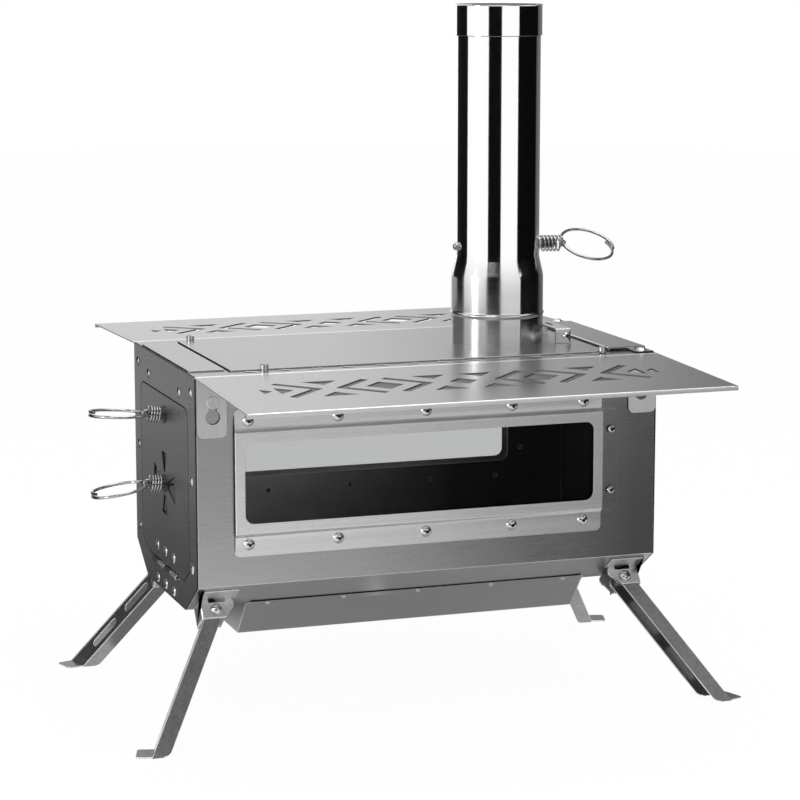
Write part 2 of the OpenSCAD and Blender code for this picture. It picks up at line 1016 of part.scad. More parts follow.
module glass_stop() {
    along_y(-wall_y - stop_t, -wall_y)
        difference() {
            translate([stop_x + stop_l / 2, win_z]) {
                rounded(stop_l, stop_h, stop_r);
                translate([-stop_l / 2, -stop_h / 2])
                    square([stop_l / 2, stop_h]);
            }
            for (p = stop_screw_places())
                translate(p)
                    circle(button_shank_r + screw_gap);
        }
}

module front_glass_stop() {
    color(steel_mid)
        glass_stop();
}

module rear_glass_stop() {
    color(steel_mid)
        mirror([0, 1, 0])
            glass_stop();
}

module window_screws() {
    color(bright)
        both_sides()
            for (p = window_screw_places())
                translate([p[0], -wall_y - frame_t, p[1]])
                    rotate([90, 0, 0])
                        button_screw(button_r, button_h, hex_r, hex_d,
                                     button_shank_r, frame_t + sheet_t);
}

module glass_stop_screws() {
    color(bright)
        both_sides()
            for (p = stop_screw_places())
                translate([p[0], -wall_y - stop_t, p[1]])
                    rotate([90, 0, 0]) {
                        cylinder(r = stop_neck_r, h = stop_neck_h);
                        translate([0, 0, stop_neck_h])
                            button_screw(stop_head_r, stop_head_h, hex_r, hex_d,
                                         stop_neck_r, stop_neck_h);
                        translate([0, 0, -stop_t - sheet_t])
                            cylinder(r = button_shank_r, h = stop_t + sheet_t);
                    }
}

// One petal of the air rosette, pointing along x
module petal(reach, w) {
    intersection() {
        polygon([
            [petal_in, -petal_in_w / 2], [reach, -w / 2], [reach, w / 2], [petal_in, petal_in_w / 2]
        ]);
        circle(reach);
    }
}

module rosette() {
    for (i = [0 : petals - 1])
        rotate(360 * i / petals)
            petal(i % 2 == 0 ? rosette_side_r : rosette_r, i % 2 == 0 ? petal_side_w : petal_out_w);
}

module door() {
    color(steel_dark)
        along_x(-end_x, -end_x + door_t)
            difference() {
                door_outline(0);
                translate([0, latch_z])
                    circle(spindle_r + run_gap);
                translate([0, air_z]) {
                    circle(spindle_r + run_gap);
                    rosette();
                }
                hinge_rivet_places(hinge_z + hinge_rivet_up)
                    circle(rivet_shank_r + screw_gap);
            }
}

// Hinge leaf with two of the four knuckles; the first knuckle is 0 or 1
module hinge_leaf(first, up, back) {
    x0 = back - hinge_x;
    difference() {
        translate([hinge_x, 0, hinge_z])
            union() {
                for (i = [first, first + 2])
                    translate([0, -hinge_l / 2 + i * knuckle_l + loose / 2, 0]) {
                        rotate([-90, 0, 0])
                            cylinder(r = barrel_r, h = knuckle_l - loose);
                        translate([x0, 0, up > 0 ? 0 : -barrel_r - loose])
                            cube([leaf_t, knuckle_l - loose, barrel_r + loose]);
                    }
                translate([x0, -hinge_l / 2, up > 0 ? barrel_r + loose : -leaf_h])
                    cube([leaf_t, hinge_l, leaf_h - barrel_r - loose]);
            }
        translate([hinge_x, -hinge_l / 2 - cut, hinge_z])
            rotate([-90, 0, 0])
                cylinder(r = pin_r + run_gap, h = hinge_l + 2 * cut);
        translate([back - cut, 0, hinge_z + up])
            for (i = [-1, 0, 1])
                translate([0, i * hinge_rivet_pitch, 0])
                    rotate([0, 90, 0])
                        cylinder(r = rivet_shank_r + screw_gap, h = leaf_t + 2 * cut);
    }
}

module door_hinge_leaf() {
    color(steel_mid)
        hinge_leaf(1, hinge_rivet_up, door_back);
}

module body_hinge_leaf() {
    color(steel_mid)
        hinge_leaf(0, -hinge_rivet_down, stop_frame_x);
}

module hinge_pin() {
    color(bright)
        translate([hinge_x, -hinge_l / 2, hinge_z])
            rotate([-90, 0, 0])
                cylinder(r = pin_r, h = hinge_l);
}

module hinge_rivets(up, shank_l) {
    for (i = [-1, 0, 1])
        translate([-end_x, i * hinge_rivet_pitch, hinge_z + up])
            rotate([0, -90, 0])
                rivet(rivet_r, rivet_h, rivet_shank_r, shank_l);
}

module door_hinge_rivets() {
    color(steel_mid)
        hinge_rivets(hinge_rivet_up, door_t + leaf_t);
}

module body_hinge_rivets() {
    color(steel_mid)
        hinge_rivets(-hinge_rivet_down, end_t + leaf_t);
}

// Spindle through the door: flange and core outside, thin shank inside
module door_spindle(z) {
    on_door(z, loose) {
        cylinder_x(-end_t - spindle_in, loose, spindle_r);
        cylinder_x(0, flange_t, flange_r);
        cylinder_x(flange_t, flange_t + core_l, core_r);
    }
}

// Cylinder along the X axis between two places
module cylinder_x(x0, x1, r) {
    translate([x0, 0, 0])
        rotate([0, 90, 0])
            cylinder(r = r, h = x1 - x0);
}

coil_out = loose + flange_t;

module latch_spindle() {
    color(bright)
        door_spindle(latch_z);
}

module air_spindle() {
    color(bright) {
        door_spindle(air_z);
        translate([door_back + loose + disc_t, 0, air_z])
            cylinder_x(0, nut_t, nut_r);
    }
}

// Pawl on the latch spindle, inside the door; turned up it catches behind the stop frame
module latch_pawl() {
    color(steel_mid)
        along_x(pawl_x, pawl_x + pawl_t)
            translate([0, latch_z])
                difference() {
                    union() {
                        circle(pawl_w / 2 + spindle_r / 2);
                        translate([0, -pawl_w / 2])
                            square([pawl_l - pawl_w / 2, pawl_w]);
                        translate([pawl_l - pawl_w / 2, 0])
                            circle(pawl_w / 2);
                    }
                    circle(spindle_r + screw_gap);
                }
}

module latch_coil() {
    color(bright)
        on_door(latch_z, coil_out)
            rotate([handle_roll, 0, 0])
                handle_coil(door_turns, door_pitch, latch_lean);
}

module latch_ring() {
    color(bright)
        on_door(latch_z, coil_out)
            rotate([handle_roll, 0, 0])
                handle_ring(door_turns, door_pitch, latch_lean, latch_ring_tilt);
}

module air_disc() {
    color(steel_mid)
        along_x(door_back + loose, door_back + loose + disc_t)
            translate([0, air_z])
                difference() {
                    circle(rosette_side_r + disc_edge);
                    circle(spindle_r + screw_gap);
                    rotate(disc_turn)
                        rosette();
                }
}

module air_coil() {
    color(bright)
        on_door(air_z, coil_out)
            rotate([handle_roll, 0, 0])
                handle_coil(door_turns, door_pitch, air_lean);
}

module air_ring() {
    color(bright)
        on_door(air_z, coil_out)
            rotate([handle_roll, 0, 0])
                handle_ring(door_turns, door_pitch, air_lean, air_ring_tilt);
}

// Flue pipe: swaged base with a bead, plain tube, socket with a rolled rim
module flue_pipe() {
    rb = base_od / 2;
    rp = pipe_od / 2;
    rs = socket_od / 2;
    z_cone = base_h;
    z_tube = base_h + cone_h;
    z_flare = pipe_h - socket_h;
    color(bright)
        translate([pipe_x, 0, pipe_z0])
            difference() {
                union() {
                    rotate_extrude() {
                        polygon([
                            [rb, 0], [rb, z_cone], [rp, z_tube], [rp, z_flare], [rs, z_flare + flare_h],
                            [rs, pipe_h], [rs - pipe_t, pipe_h], [rs - pipe_t, z_flare + flare_h],
                            [rp - pipe_t, z_flare], [rp - pipe_t, z_tube], [rb - pipe_t, z_cone],
                            [rb - pipe_t, 0]
                        ]);
                        translate([rb, bead_up])
                            intersection() {
                                circle(bead_r);
                                translate([-pipe_t / 2, -bead_r])
                                    square([bead_r + pipe_t / 2, 2 * bead_r]);
                            }
                        translate([rs, pipe_h - rim_r])
                            intersection() {
                                circle(rim_r);
                                translate([-pipe_t / 2, -rim_r])
                                    square([rim_r + pipe_t / 2, 2 * rim_r]);
                            }
                    }
                    rotate(seam_side)
                        intersection() {
                            translate([0, -seam_w / 2, 0])
                                cube([base_od, seam_w, base_h]);
                            difference() {
                                cylinder(r = rb + seam_t, h = base_h);
                                translate([0, 0, -cut])
                                    cylinder(r = rb - pipe_t / 2, h = base_h + 2 * cut);
                            }
                        }
                }
                translate([0, 0, damper_up])
                    cylinder_x(-base_od, base_od, shaft_r + run_gap);
            }
}

module damper_shaft() {
    rp = pipe_od / 2;
    end = loose + flange_t + 2 * core_l;
    color(bright)
        translate([pipe_x, 0, damper_z]) {
            cylinder_x(-rp - shaft_out, rp + end, shaft_r);
            cylinder_x(rp + loose, rp + loose + flange_t, flange_r);
            cylinder_x(rp + loose, rp + end, core_r);
            translate([-rp - loose - bead_r, 0, 0])
                rotate([0, -90, 0])
                    dome(nut_dome_r, nut_dome_h);
            cylinder_x(-rp - loose - bead_r, -rp - loose, nut_dome_r);
        }
}

// Damper plate, fixed on one side of its shaft
module damper_plate() {
    color(steel_dark)
        translate([pipe_x, 0, damper_z])
            rotate([damper_tilt, 0, 0])
                translate([0, 0, shaft_r])
                    cylinder(r = damper_r, h = damper_t);
}

module damper_coil() {
    color(bright)
        on_damper(coil_out)
            handle_coil(damper_turns, damper_pitch, damper_lean);
}

module damper_ring() {
    color(bright)
        on_damper(coil_out)
            handle_ring(damper_turns, damper_pitch, damper_lean, damper_ring_tilt);
}

// Baffle hung under the flue outlet on four folded legs
module baffle_plate() {
    x0 = min(pipe_x - baffle_l / 2, cook_x1 - cook_rim - strip_gap - baffle_l);
    z0 = top_z - baffle_down;
    color(steel_dark)
        translate([x0, 0, z0]) {
            translate([0, -baffle_w / 2, 0])
                cube([baffle_l, baffle_w, baffle_t]);
            for (x = [0, baffle_l - baffle_leg], side = [-1, 1])
                translate([x, side * (baffle_w - baffle_t) / 2 - baffle_t / 2, 0])
                    cube([baffle_leg, baffle_t, baffle_down]);
        }
}

// Grate over the floor, standing on its folded edges
module fire_grate() {
    color(steel_dark)
        translate([-grate_l / 2, -grate_w / 2, ground_gap + sheet_t]) {
            difference() {
                cube([grate_l, grate_w, grate_h]);
                translate([-cut, grate_t, -cut])
                    cube([grate_l + 2 * cut, grate_w - 2 * grate_t, grate_h - grate_t + cut]);
                for (i = [0 : grate_slots - 1])
                    translate([grate_l * (i + 0.5) / grate_slots, grate_w / 2, grate_h - grate_t - cut])
                        linear_extrude(grate_t + 2 * cut)
                            rotate(90)
                                obround(grate_slot_l, grate_slot_w);
            }
        }
}

// Cut-outs of the shelf band, about the shelf's middle
module chevron(x, way) {
    e = arm_w / sqrt(2);
    translate([x, 0])
        polygon([
            for (p = [[0, 0], [band_half, band_half], [band_half + e, band_half - e], [2 * e, 0],
                      [band_half + e, e - band_half], [band_half, -band_half]])
                [way * p[0], p[1]]
        ]);
}

module diamond(x, half) {
    translate([x, 0])
        polygon([[-half, 0], [0, half], [half, 0], [0, -half]]);
}

module crossing(x) {
    for (up = [-1, 1])
        translate([x, 0])
            polygon([[-tri_half, up * band_half], [tri_half, up * band_half],
                     [0, up * (band_half - tri_h)]]);
}

module band() {
    diamond(0, small_diamond_half);
    for (side = [-1, 1]) {
        crossing(side * cross_near);
        crossing(side * cross_far);
        diamond(side * cell_mid, diamond_half);
        chevron(side * (cross_near + cross_gap), side);
        chevron(side * (cross_far - cross_gap), -side);
        chevron(side * (cross_far + cross_gap), side);
        for (tip = [[end_tri_x, end_tri_l, end_tri_half], [tip_tri_x, tip_tri_l, tip_tri_half]])
            translate([side * tip[0], 0])
                polygon([[0, tip[2]], [-side * tip[1], 0], [0, -tip[2]]]);
    }
}

// Keyhole: the stud's shank sits in the narrow top, its head passes the wide bottom
module keyhole() {
    circle(stud_r + stud_side);
    translate([-stud_r - stud_side, -shelf_lift])
        square([2 * (stud_r + stud_side), shelf_lift]);
    translate([0, -shelf_lift])
        circle(stud_head_r + key_side);
}

module shelf() {
    y0 = -wall_y - loose;
    translate([0, y0, top_z])
        rotate([shelf_droop, 0, 0]) {
            translate([0, 0, -shelf_t])
                linear_extrude(shelf_t)
                    difference() {
                        translate([-end_x, -shelf_w])
                            square([body_l, shelf_w]);
                        translate([0, -band_y])
                            scale([band_stretch, 1])
                                band();
                    }
            translate([-end_x, -shelf_w, -lip_h])
                cube([body_l, shelf_t, lip_h]);
        }
    along_y(y0 - shelf_t, y0)
        for (side = [-1, 1])
            difference() {
                translate([side * (end_x - tab_edge - tab_l / 2), top_z - tab_h / 2]) {
                    rounded(tab_l, tab_h, tab_r);
                    translate([-tab_l / 2, 0])
                        square([tab_l, tab_h / 2]);
                }
                translate([side * stud_x, stud_z])
                    keyhole();
            }
}

module front_shelf() {
    color(steel_light)
        shelf();
}

module rear_shelf() {
    color(steel_light)
        mirror([0, 1, 0])
            shelf();
}

module shelf_studs() {
    reach = shelf_t + 2 * loose;
    color(bright)
        both_sides()
            for (p = stud_places())
                translate([p[0], -wall_y, p[1]])
                    rotate([90, 0, 0]) {
                        translate([0, 0, -sheet_t])
                            cylinder(r = stud_r, h = sheet_t + reach);
                        translate([0, 0, reach])
                            cylinder(r = stud_head_r, h = stud_head_t);
                        translate([0, 0, -sheet_t - stud_in_head_t])
                            cylinder(r = stud_in_head_r, h = stud_in_head_t);
                    }
}

// Bracket wall seen square on: u runs inwards from the side wall, v down from the cut edge
module bracket_wall() {
    polygon([
        [0, 0], [bracket_top_l - lobe_r, 0], [bracket_top_l, -lobe_r],
        [bracket_low_l, -bracket_h], [0, -bracket_h]
    ]);
    translate([bracket_top_l - lobe_r, -lobe_r])
        circle(lobe_r);
}

// Front left bracket: a fork folded from sheet, standing square on the cut edge
module bracket() {
    side = -bracket_side_x;
    on_chamfer()
        difference() {
            union() {
                translate([side, bracket_s - bracket_flange_s, -leg_t])
                    cube([bracket_flange_l, bracket_flange_s, leg_t]);
                for (s = [bracket_s, bracket_s + bracket_deep - leg_t])
                    translate([side, 0, 0])
                        along_y(s, s + leg_t)
                            bracket_wall();
                translate([side, bracket_s, -bracket_h])
                    cube([leg_t, bracket_deep, bracket_h]);
            }
            translate([side + relief_in, bracket_s - relief_w / 2, -relief_w])
                cube([relief_l, relief_w, relief_w + cut]);
            translate([-pivot_x, bracket_s - cut, -pivot_h])
                rotate([-90, 0, 0])
                    cylinder(r = bolt_r + screw_gap, h = bracket_deep + 2 * cut);
        }
}

// Depth of the ground square below the cut edge, at s down along it
function ground_at(s) = (bend_z - s * sin(chamfer_tilt)) / cos(chamfer_tilt);

// Where the outer face of a leg's web meets the ground, at s down along the cut edge
function web_foot(s) = [
    -pivot_x - leg_half / cos(leg_splay) - (ground_at(s) - pivot_h) * tan(leg_splay),
    -wall_y + s * cos(chamfer_tilt) - ground_at(s) * sin(chamfer_tilt)
];

// Leg wall seen square on, with its pivot at the origin and its toe rounded at the ground
module leg_wall(ground) {
    half_angle = (90 + leg_splay) / 2;
    toe = [leg_half / cos(leg_splay) - (ground - pivot_h) * tan(leg_splay), pivot_h - ground];
    back = toe_r / tan(half_angle);
    difference() {
        rotate(-leg_splay) {
            circle(leg_half);
            translate([-leg_half, -leg_long])
                square([leg_w, leg_long]);
        }
        translate(toe)
            difference() {
                polygon([
                    [0, -toe_r], [-back, -toe_r], [-back, 0], [-back, toe_r],
                    [back * sin(leg_splay), back * cos(leg_splay)], [toe_r, 0], [toe_r, -toe_r]
                ]);
                translate([-back, toe_r])
                    circle(toe_r);
            }
        circle(bolt_r + run_gap);
    }
}

// Front left leg: a channel open towards the inside, cut level with the ground
module leg() {
    difference() {
        on_chamfer()
            translate([-pivot_x, 0, -pivot_h]) {
                for (s = [leg_s0, leg_s1 - leg_t])
                    along_y(s, s + leg_t)
                        leg_wall(ground_at(s + leg_t));
                difference() {
                    rotate([0, leg_splay, 0])
                        translate([web_in - leg_half, leg_s0 + web_in, -leg_long])
                            cube([leg_t, leg_s1 - leg_s0 - 2 * web_in, leg_long - web_start]);
                    for (at = leg_slot_at)
                        rotate([0, leg_splay, 0])
                            translate([-leg_half - cut, (leg_s0 + leg_s1) / 2, -at - leg_slot_l / 2])
                                rotate([0, 90, 0])
                                    linear_extrude(leg_t + 2 * cut)
                                        obround(leg_slot_l, leg_slot_w);
                }
            }
        translate([-body_l, -body_l, -body_l])
            cube([body_l, body_l, body_l]);
    }
    foot_tab();
}

// Farthest reach of the door handles from the middle of the firebox
handle_reach = end_x + coil_out + lean_out(latch_lean)
    + eye_at(door_turns, door_pitch) * cos(latch_lean)
    + 2 * ring_r * cos(latch_lean + latch_ring_tilt) + ring_wire / 2;

// Foot tab: the web's end bent out flat on the ground, reaching as far out as the door handles
module foot_tab() {
    front = web_foot(leg_s0);
    rear = web_foot(leg_s1);
    along = unit(rear - front);
    width = norm(rear - front);
    foot_l = foot_r + (handle_reach - foot_r + front[0] + (foot_in + foot_r) * along[0]) / along[1];
    translate([front[0], front[1], 0])
        rotate(atan2(along[1], along[0]))
            linear_extrude(foot_t) {
                translate([foot_in, -foot_back])
                    square([width - 2 * foot_in, foot_l - foot_r + foot_back]);
                translate([foot_in + foot_r, -foot_back])
                    square([width - 2 * foot_in - 2 * foot_r, foot_l + foot_back]);
                for (x = [foot_in + foot_r, width - foot_in - foot_r])
                    translate([x, foot_l - foot_r])
                        circle(foot_r);
            }
}

module front_left_bracket() {
    color(steel_mid)
        bracket();
}

module front_right_bracket() {
    color(steel_mid)
        mirror([1, 0, 0])
            bracket();
}

module rear_left_bracket() {
    color(steel_mid)
        mirror([0, 1, 0])
            bracket();
}

module rear_right_bracket() {
    color(steel_mid)
        mirror([1, 0, 0])
            mirror([0, 1, 0])
                bracket();
}

module front_left_leg() {
    color(steel_mid)
        leg();
}

module front_right_leg() {
    color(steel_mid)
        mirror([1, 0, 0])
            leg();
}

module rear_left_leg() {
    color(steel_mid)
        mirror([0, 1, 0])
            leg();
}

module rear_right_leg() {
    color(steel_mid)
        mirror([1, 0, 0])
            mirror([0, 1, 0])
                leg();
}

// Repeats a piece of the front left pivot at all four pivots
module at_pivots() {
    for (right = [0, 1])
        mirror([right, 0, 0])
            both_sides()
                on_chamfer()
                    translate([-pivot_x, bracket_s, -pivot_h])
                        rotate([90, 0, 0])
                            children();
}

module leg_pivot_bolts() {
    color(bright)
        at_pivots() {
            cylinder(r = bolt_washer_r, h = bolt_washer_t);
            translate([0, 0, bolt_washer_t])
                button_screw(bolt_head_r, bolt_head_h, bolt_hex_r, bolt_head_h / 2, bolt_r,
                             bolt_washer_t + bracket_deep + bolt_nut_h + bolt_tip);
        }
}

module leg_pivot_nuts() {
    color(bright)
        at_pivots()
            translate([0, 0, -bracket_deep - bolt_nut_h])
                difference() {
                    cylinder(r = bolt_nut_r, h = bolt_nut_h, $fn = 6);
                    translate([0, 0, -cut])
                        cylinder(r = bolt_r + screw_gap, h = bolt_nut_h + 2 * cut);
                }
}

// Heat-shield pan: outlines seen along X, as (y, z)
function on_edge(s, h) = [
    -wall_y + s * cos(chamfer_tilt) - h * sin(chamfer_tilt),
    bend_z - s * sin(chamfer_tilt) - h * cos(chamfer_tilt)
];

module pan_filled() {
    a = on_edge(chamfer_slant - pan_flange, pan_t);
    b = on_edge(chamfer_slant, pan_t);
    low = ground_gap - pan_h;
    difference() {
        polygon([a, b, [-pan_low_y, low], [pan_low_y, low], [-b[0], b[1]], [-a[0], a[1]]]);
        polygon(section(0, top_z));
    }
}

module heat_shield_pan() {
    low = ground_gap - pan_h + pan_t;
    floor_y = wall_y - chamfer_in;
    color(steel_mid)
        difference() {
            union() {
                along_x(-pan_x, pan_x)
                    difference() {
                        pan_filled();
                        polygon([
                            [pan_t - floor_y, ground_gap + cut], [pan_t - floor_y, ground_gap],
                            [pan_t - pan_low_y, low], [pan_low_y - pan_t, low],
                            [floor_y - pan_t, ground_gap], [floor_y - pan_t, ground_gap + cut]
                        ]);
                    }
                for (x = [-pan_x, pan_x - pan_t])
                    along_x(x, x + pan_t)
                        pan_filled();
            }
            both_sides()
                on_chamfer() {
                    for (x = pan_screws_x)
                        translate([x, chamfer_slant - pan_screw_in, -pan_t - cut])
                            cylinder(r = pan_shank_r + screw_gap, h = pan_t + 2 * cut);
                    for (side = [-1, 1])
                        translate([side * pan_x, chamfer_slant - pan_flange, -pan_t - cut])
                            linear_extrude(pan_t + 2 * cut)
                                difference() {
                                    square(2 * pan_corner, center = true);
                                    translate([-side * pan_corner, pan_corner])
                                        circle(pan_corner);
                                    translate([side > 0 ? -2 * pan_corner : 0, pan_corner])
                                        square(2 * pan_corner);
                                }
                }
        }
}

module heat_shield_screws() {
    color(bright)
        both_sides()
            on_chamfer()
                for (x = pan_screws_x)
                    translate([x, chamfer_slant - pan_screw_in, -pan_t])
                        rotate([180, 0, 0])
                            button_screw(pan_screw_r, pan_screw_h, hex_r, pan_screw_h / 2,
                                         pan_shank_r, pan_t + sheet_t);
}

echo(door_coil_gap = least_gap(coil_path(door_turns, door_pitch), coil_wire, 3));
echo(damper_coil_gap = least_gap(coil_path(damper_turns, damper_pitch), coil_wire, 3));
echo(ring_end_gap = least_gap(ring_path(), ring_wire, 6));
echo(handle_reach = handle_reach);
echo(foot_front = web_foot(leg_s0), foot_rear = web_foot(leg_s1));

firebox_wrap();
door_end_plate();
far_end_plate();
door_stop_frame();
top_plate();
left_top_strip();
cook_plate();
right_top_strap();
flue_collar();
lift_bridge();
lift_bridge_screw();
plate_clamp_screws();
strap_screws();
end_plate_rivets();
front_window_frame();
rear_window_frame();
front_glass();
rear_glass();
front_glass_stop();
rear_glass_stop();
window_screws();
glass_stop_screws();
door();
door_hinge_leaf();
body_hinge_leaf();
hinge_pin();
door_hinge_rivets();
body_hinge_rivets();
latch_spindle();
latch_pawl();
latch_coil();
latch_ring();
air_disc();
air_spindle();
air_coil();
air_ring();
flue_pipe();
damper_shaft();
damper_plate();
damper_coil();
damper_ring();
baffle_plate();
fire_grate();
front_shelf();
rear_shelf();
shelf_studs();
front_left_bracket();
front_right_bracket();
rear_left_bracket();
rear_right_bracket();
front_left_leg();
front_right_leg();
rear_left_leg();
rear_right_leg();
leg_pivot_bolts();
leg_pivot_nuts();
heat_shield_pan();
heat_shield_screws();
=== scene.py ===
import json
import math

import bmesh
import bpy
from mathutils import Matrix, Vector

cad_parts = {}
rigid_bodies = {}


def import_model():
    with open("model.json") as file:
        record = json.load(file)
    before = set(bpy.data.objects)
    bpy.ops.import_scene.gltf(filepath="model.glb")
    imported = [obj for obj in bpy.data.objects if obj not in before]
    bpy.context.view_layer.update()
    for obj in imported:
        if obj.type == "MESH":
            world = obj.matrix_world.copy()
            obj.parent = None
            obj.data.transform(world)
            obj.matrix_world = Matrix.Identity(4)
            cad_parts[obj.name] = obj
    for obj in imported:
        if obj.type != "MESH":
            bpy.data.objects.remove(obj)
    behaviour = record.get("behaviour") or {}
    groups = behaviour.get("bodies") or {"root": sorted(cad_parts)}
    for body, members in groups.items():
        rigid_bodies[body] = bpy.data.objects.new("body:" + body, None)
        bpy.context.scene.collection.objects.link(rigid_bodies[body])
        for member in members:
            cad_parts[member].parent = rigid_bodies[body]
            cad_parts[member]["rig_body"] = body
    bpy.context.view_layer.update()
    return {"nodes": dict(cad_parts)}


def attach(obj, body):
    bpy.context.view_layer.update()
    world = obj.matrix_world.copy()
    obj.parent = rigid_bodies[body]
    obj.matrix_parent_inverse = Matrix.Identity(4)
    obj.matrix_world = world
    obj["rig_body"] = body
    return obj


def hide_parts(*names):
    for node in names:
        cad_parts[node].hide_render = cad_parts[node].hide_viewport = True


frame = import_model()
scene = bpy.context.scene
scene.view_settings.view_transform = "Standard"

# Studio: one camera at the photograph's angle, a white floor that keeps the stove's shadow,
# soft lamps, and plain dark and pale cards that show only in the steel's reflections.
CAMERA_TILT, CAMERA_TURN = 9.602, -19.061
camera = bpy.data.objects.new("camera", bpy.data.cameras.new("camera"))
camera.data.lens = 118.62
camera.data.sensor_width = 36
camera.data.clip_end = 30
camera.location = (-0.7893, -2.3078, 0.6846)
camera.rotation_euler = (math.radians(90 - CAMERA_TILT), 0, math.radians(CAMERA_TURN))
scene.collection.objects.link(camera)
scene.camera = camera


class Tone:
    """A value or colour that runs over a surface. Arithmetic on it adds Math nodes."""

    def __init__(self, tree, socket=None):
        self.tree, self.socket = tree, socket

    def make(self, kind, settings=None, sockets=None, out=0):
        """Adds a node: its settings first, then the values or links of its sockets."""
        node = self.tree.nodes.new(kind)
        for key, value in (settings or {}).items():
            setattr(node, key, value)
        for key, value in (sockets or {}).items():
            if isinstance(value, Tone):
                self.tree.links.new(value.socket, node.inputs[key])
            else:
                node.inputs[key].default_value = value
        return Tone(self.tree, node.outputs[out] if node.outputs else None)

    def maths(self, operation, a, b=0.0):
        return self.make("ShaderNodeMath", {"operation": operation}, {0: a, 1: b})

    def __add__(self, other):
        return self.maths("ADD", self, other)

    def __sub__(self, other):
        return self.maths("SUBTRACT", self, other)

    def __mul__(self, other):
        return self.maths("MULTIPLY", self, other)

    def __truediv__(self, other):
        return self.maths("DIVIDE", self, other)

    def __pow__(self, other):
        return self.maths("POWER", self, other)

    __radd__ = __add__
    __rmul__ = __mul__


def new_finish(name):
    """An empty material and the Tone that adds nodes to it."""
    material = bpy.data.materials.new(name)
    material.use_nodes = True
    material.node_tree.nodes.clear()
    return material, Tone(material.node_tree)


def stage_piece(name, shape, material):
    """A bmesh as an object of the studio, which the model does not hold."""
    mesh = bpy.data.meshes.new(name)
    shape.to_mesh(mesh)
    shape.free()
    mesh.materials.append(material)
    piece = bpy.data.objects.new(name, mesh)
    scene.collection.objects.link(piece)
    return piece


def seen_directly(tone):
    """1 for camera, glossy and transmission rays, otherwise 0."""
    path = tone.make("ShaderNodeLightPath")
    outs = path.socket.node.outputs
    rays = [Tone(tone.tree, outs[n]) for n in ("Is Camera Ray", "Is Glossy Ray", "Is Transmission Ray")]
    return tone.maths("MAXIMUM", tone.maths("MAXIMUM", rays[0], rays[1]), rays[2])


WORLD_FILL = 0.7  # what matt surfaces see of the white world
FLOOR_WHITE = 0.965  # how far the floor is plain white, and not a matt surface with shadows
world = bpy.data.worlds.new("studio")
world.use_nodes = True
world.node_tree.nodes.clear()
sky = Tone(world.node_tree)
sky_colour = sky.make("ShaderNodeMix", {"data_type": "RGBA"}, {
    0: seen_directly(sky), 6: (WORLD_FILL, WORLD_FILL, WORLD_FILL, 1), 7: (1, 1, 1, 1)}, 2)
sky.make("ShaderNodeOutputWorld", {}, {0: sky.make("ShaderNodeBackground", {}, {0: sky_colour})})
scene.world = world

floor_finish, paint = new_finish("studio_floor")
floor_shade = paint.make("ShaderNodeBsdfDiffuse", {}, {0: (0.9, 0.9, 0.9, 1)})
floor_glow = paint.make("ShaderNodeEmission", {}, {0: (1, 1, 1, 1), 1: 1.0})
paint.make("ShaderNodeOutputMaterial", {}, {0: paint.make(
    "ShaderNodeMixShader", {}, {0: FLOOR_WHITE * seen_directly(paint), 1: floor_shade, 2: floor_glow})})
floor_shape = bmesh.new()
bmesh.ops.create_circle(floor_shape, cap_ends=True, segments=64, radius=7)
stage_piece("studio_floor", floor_shape, floor_finish)

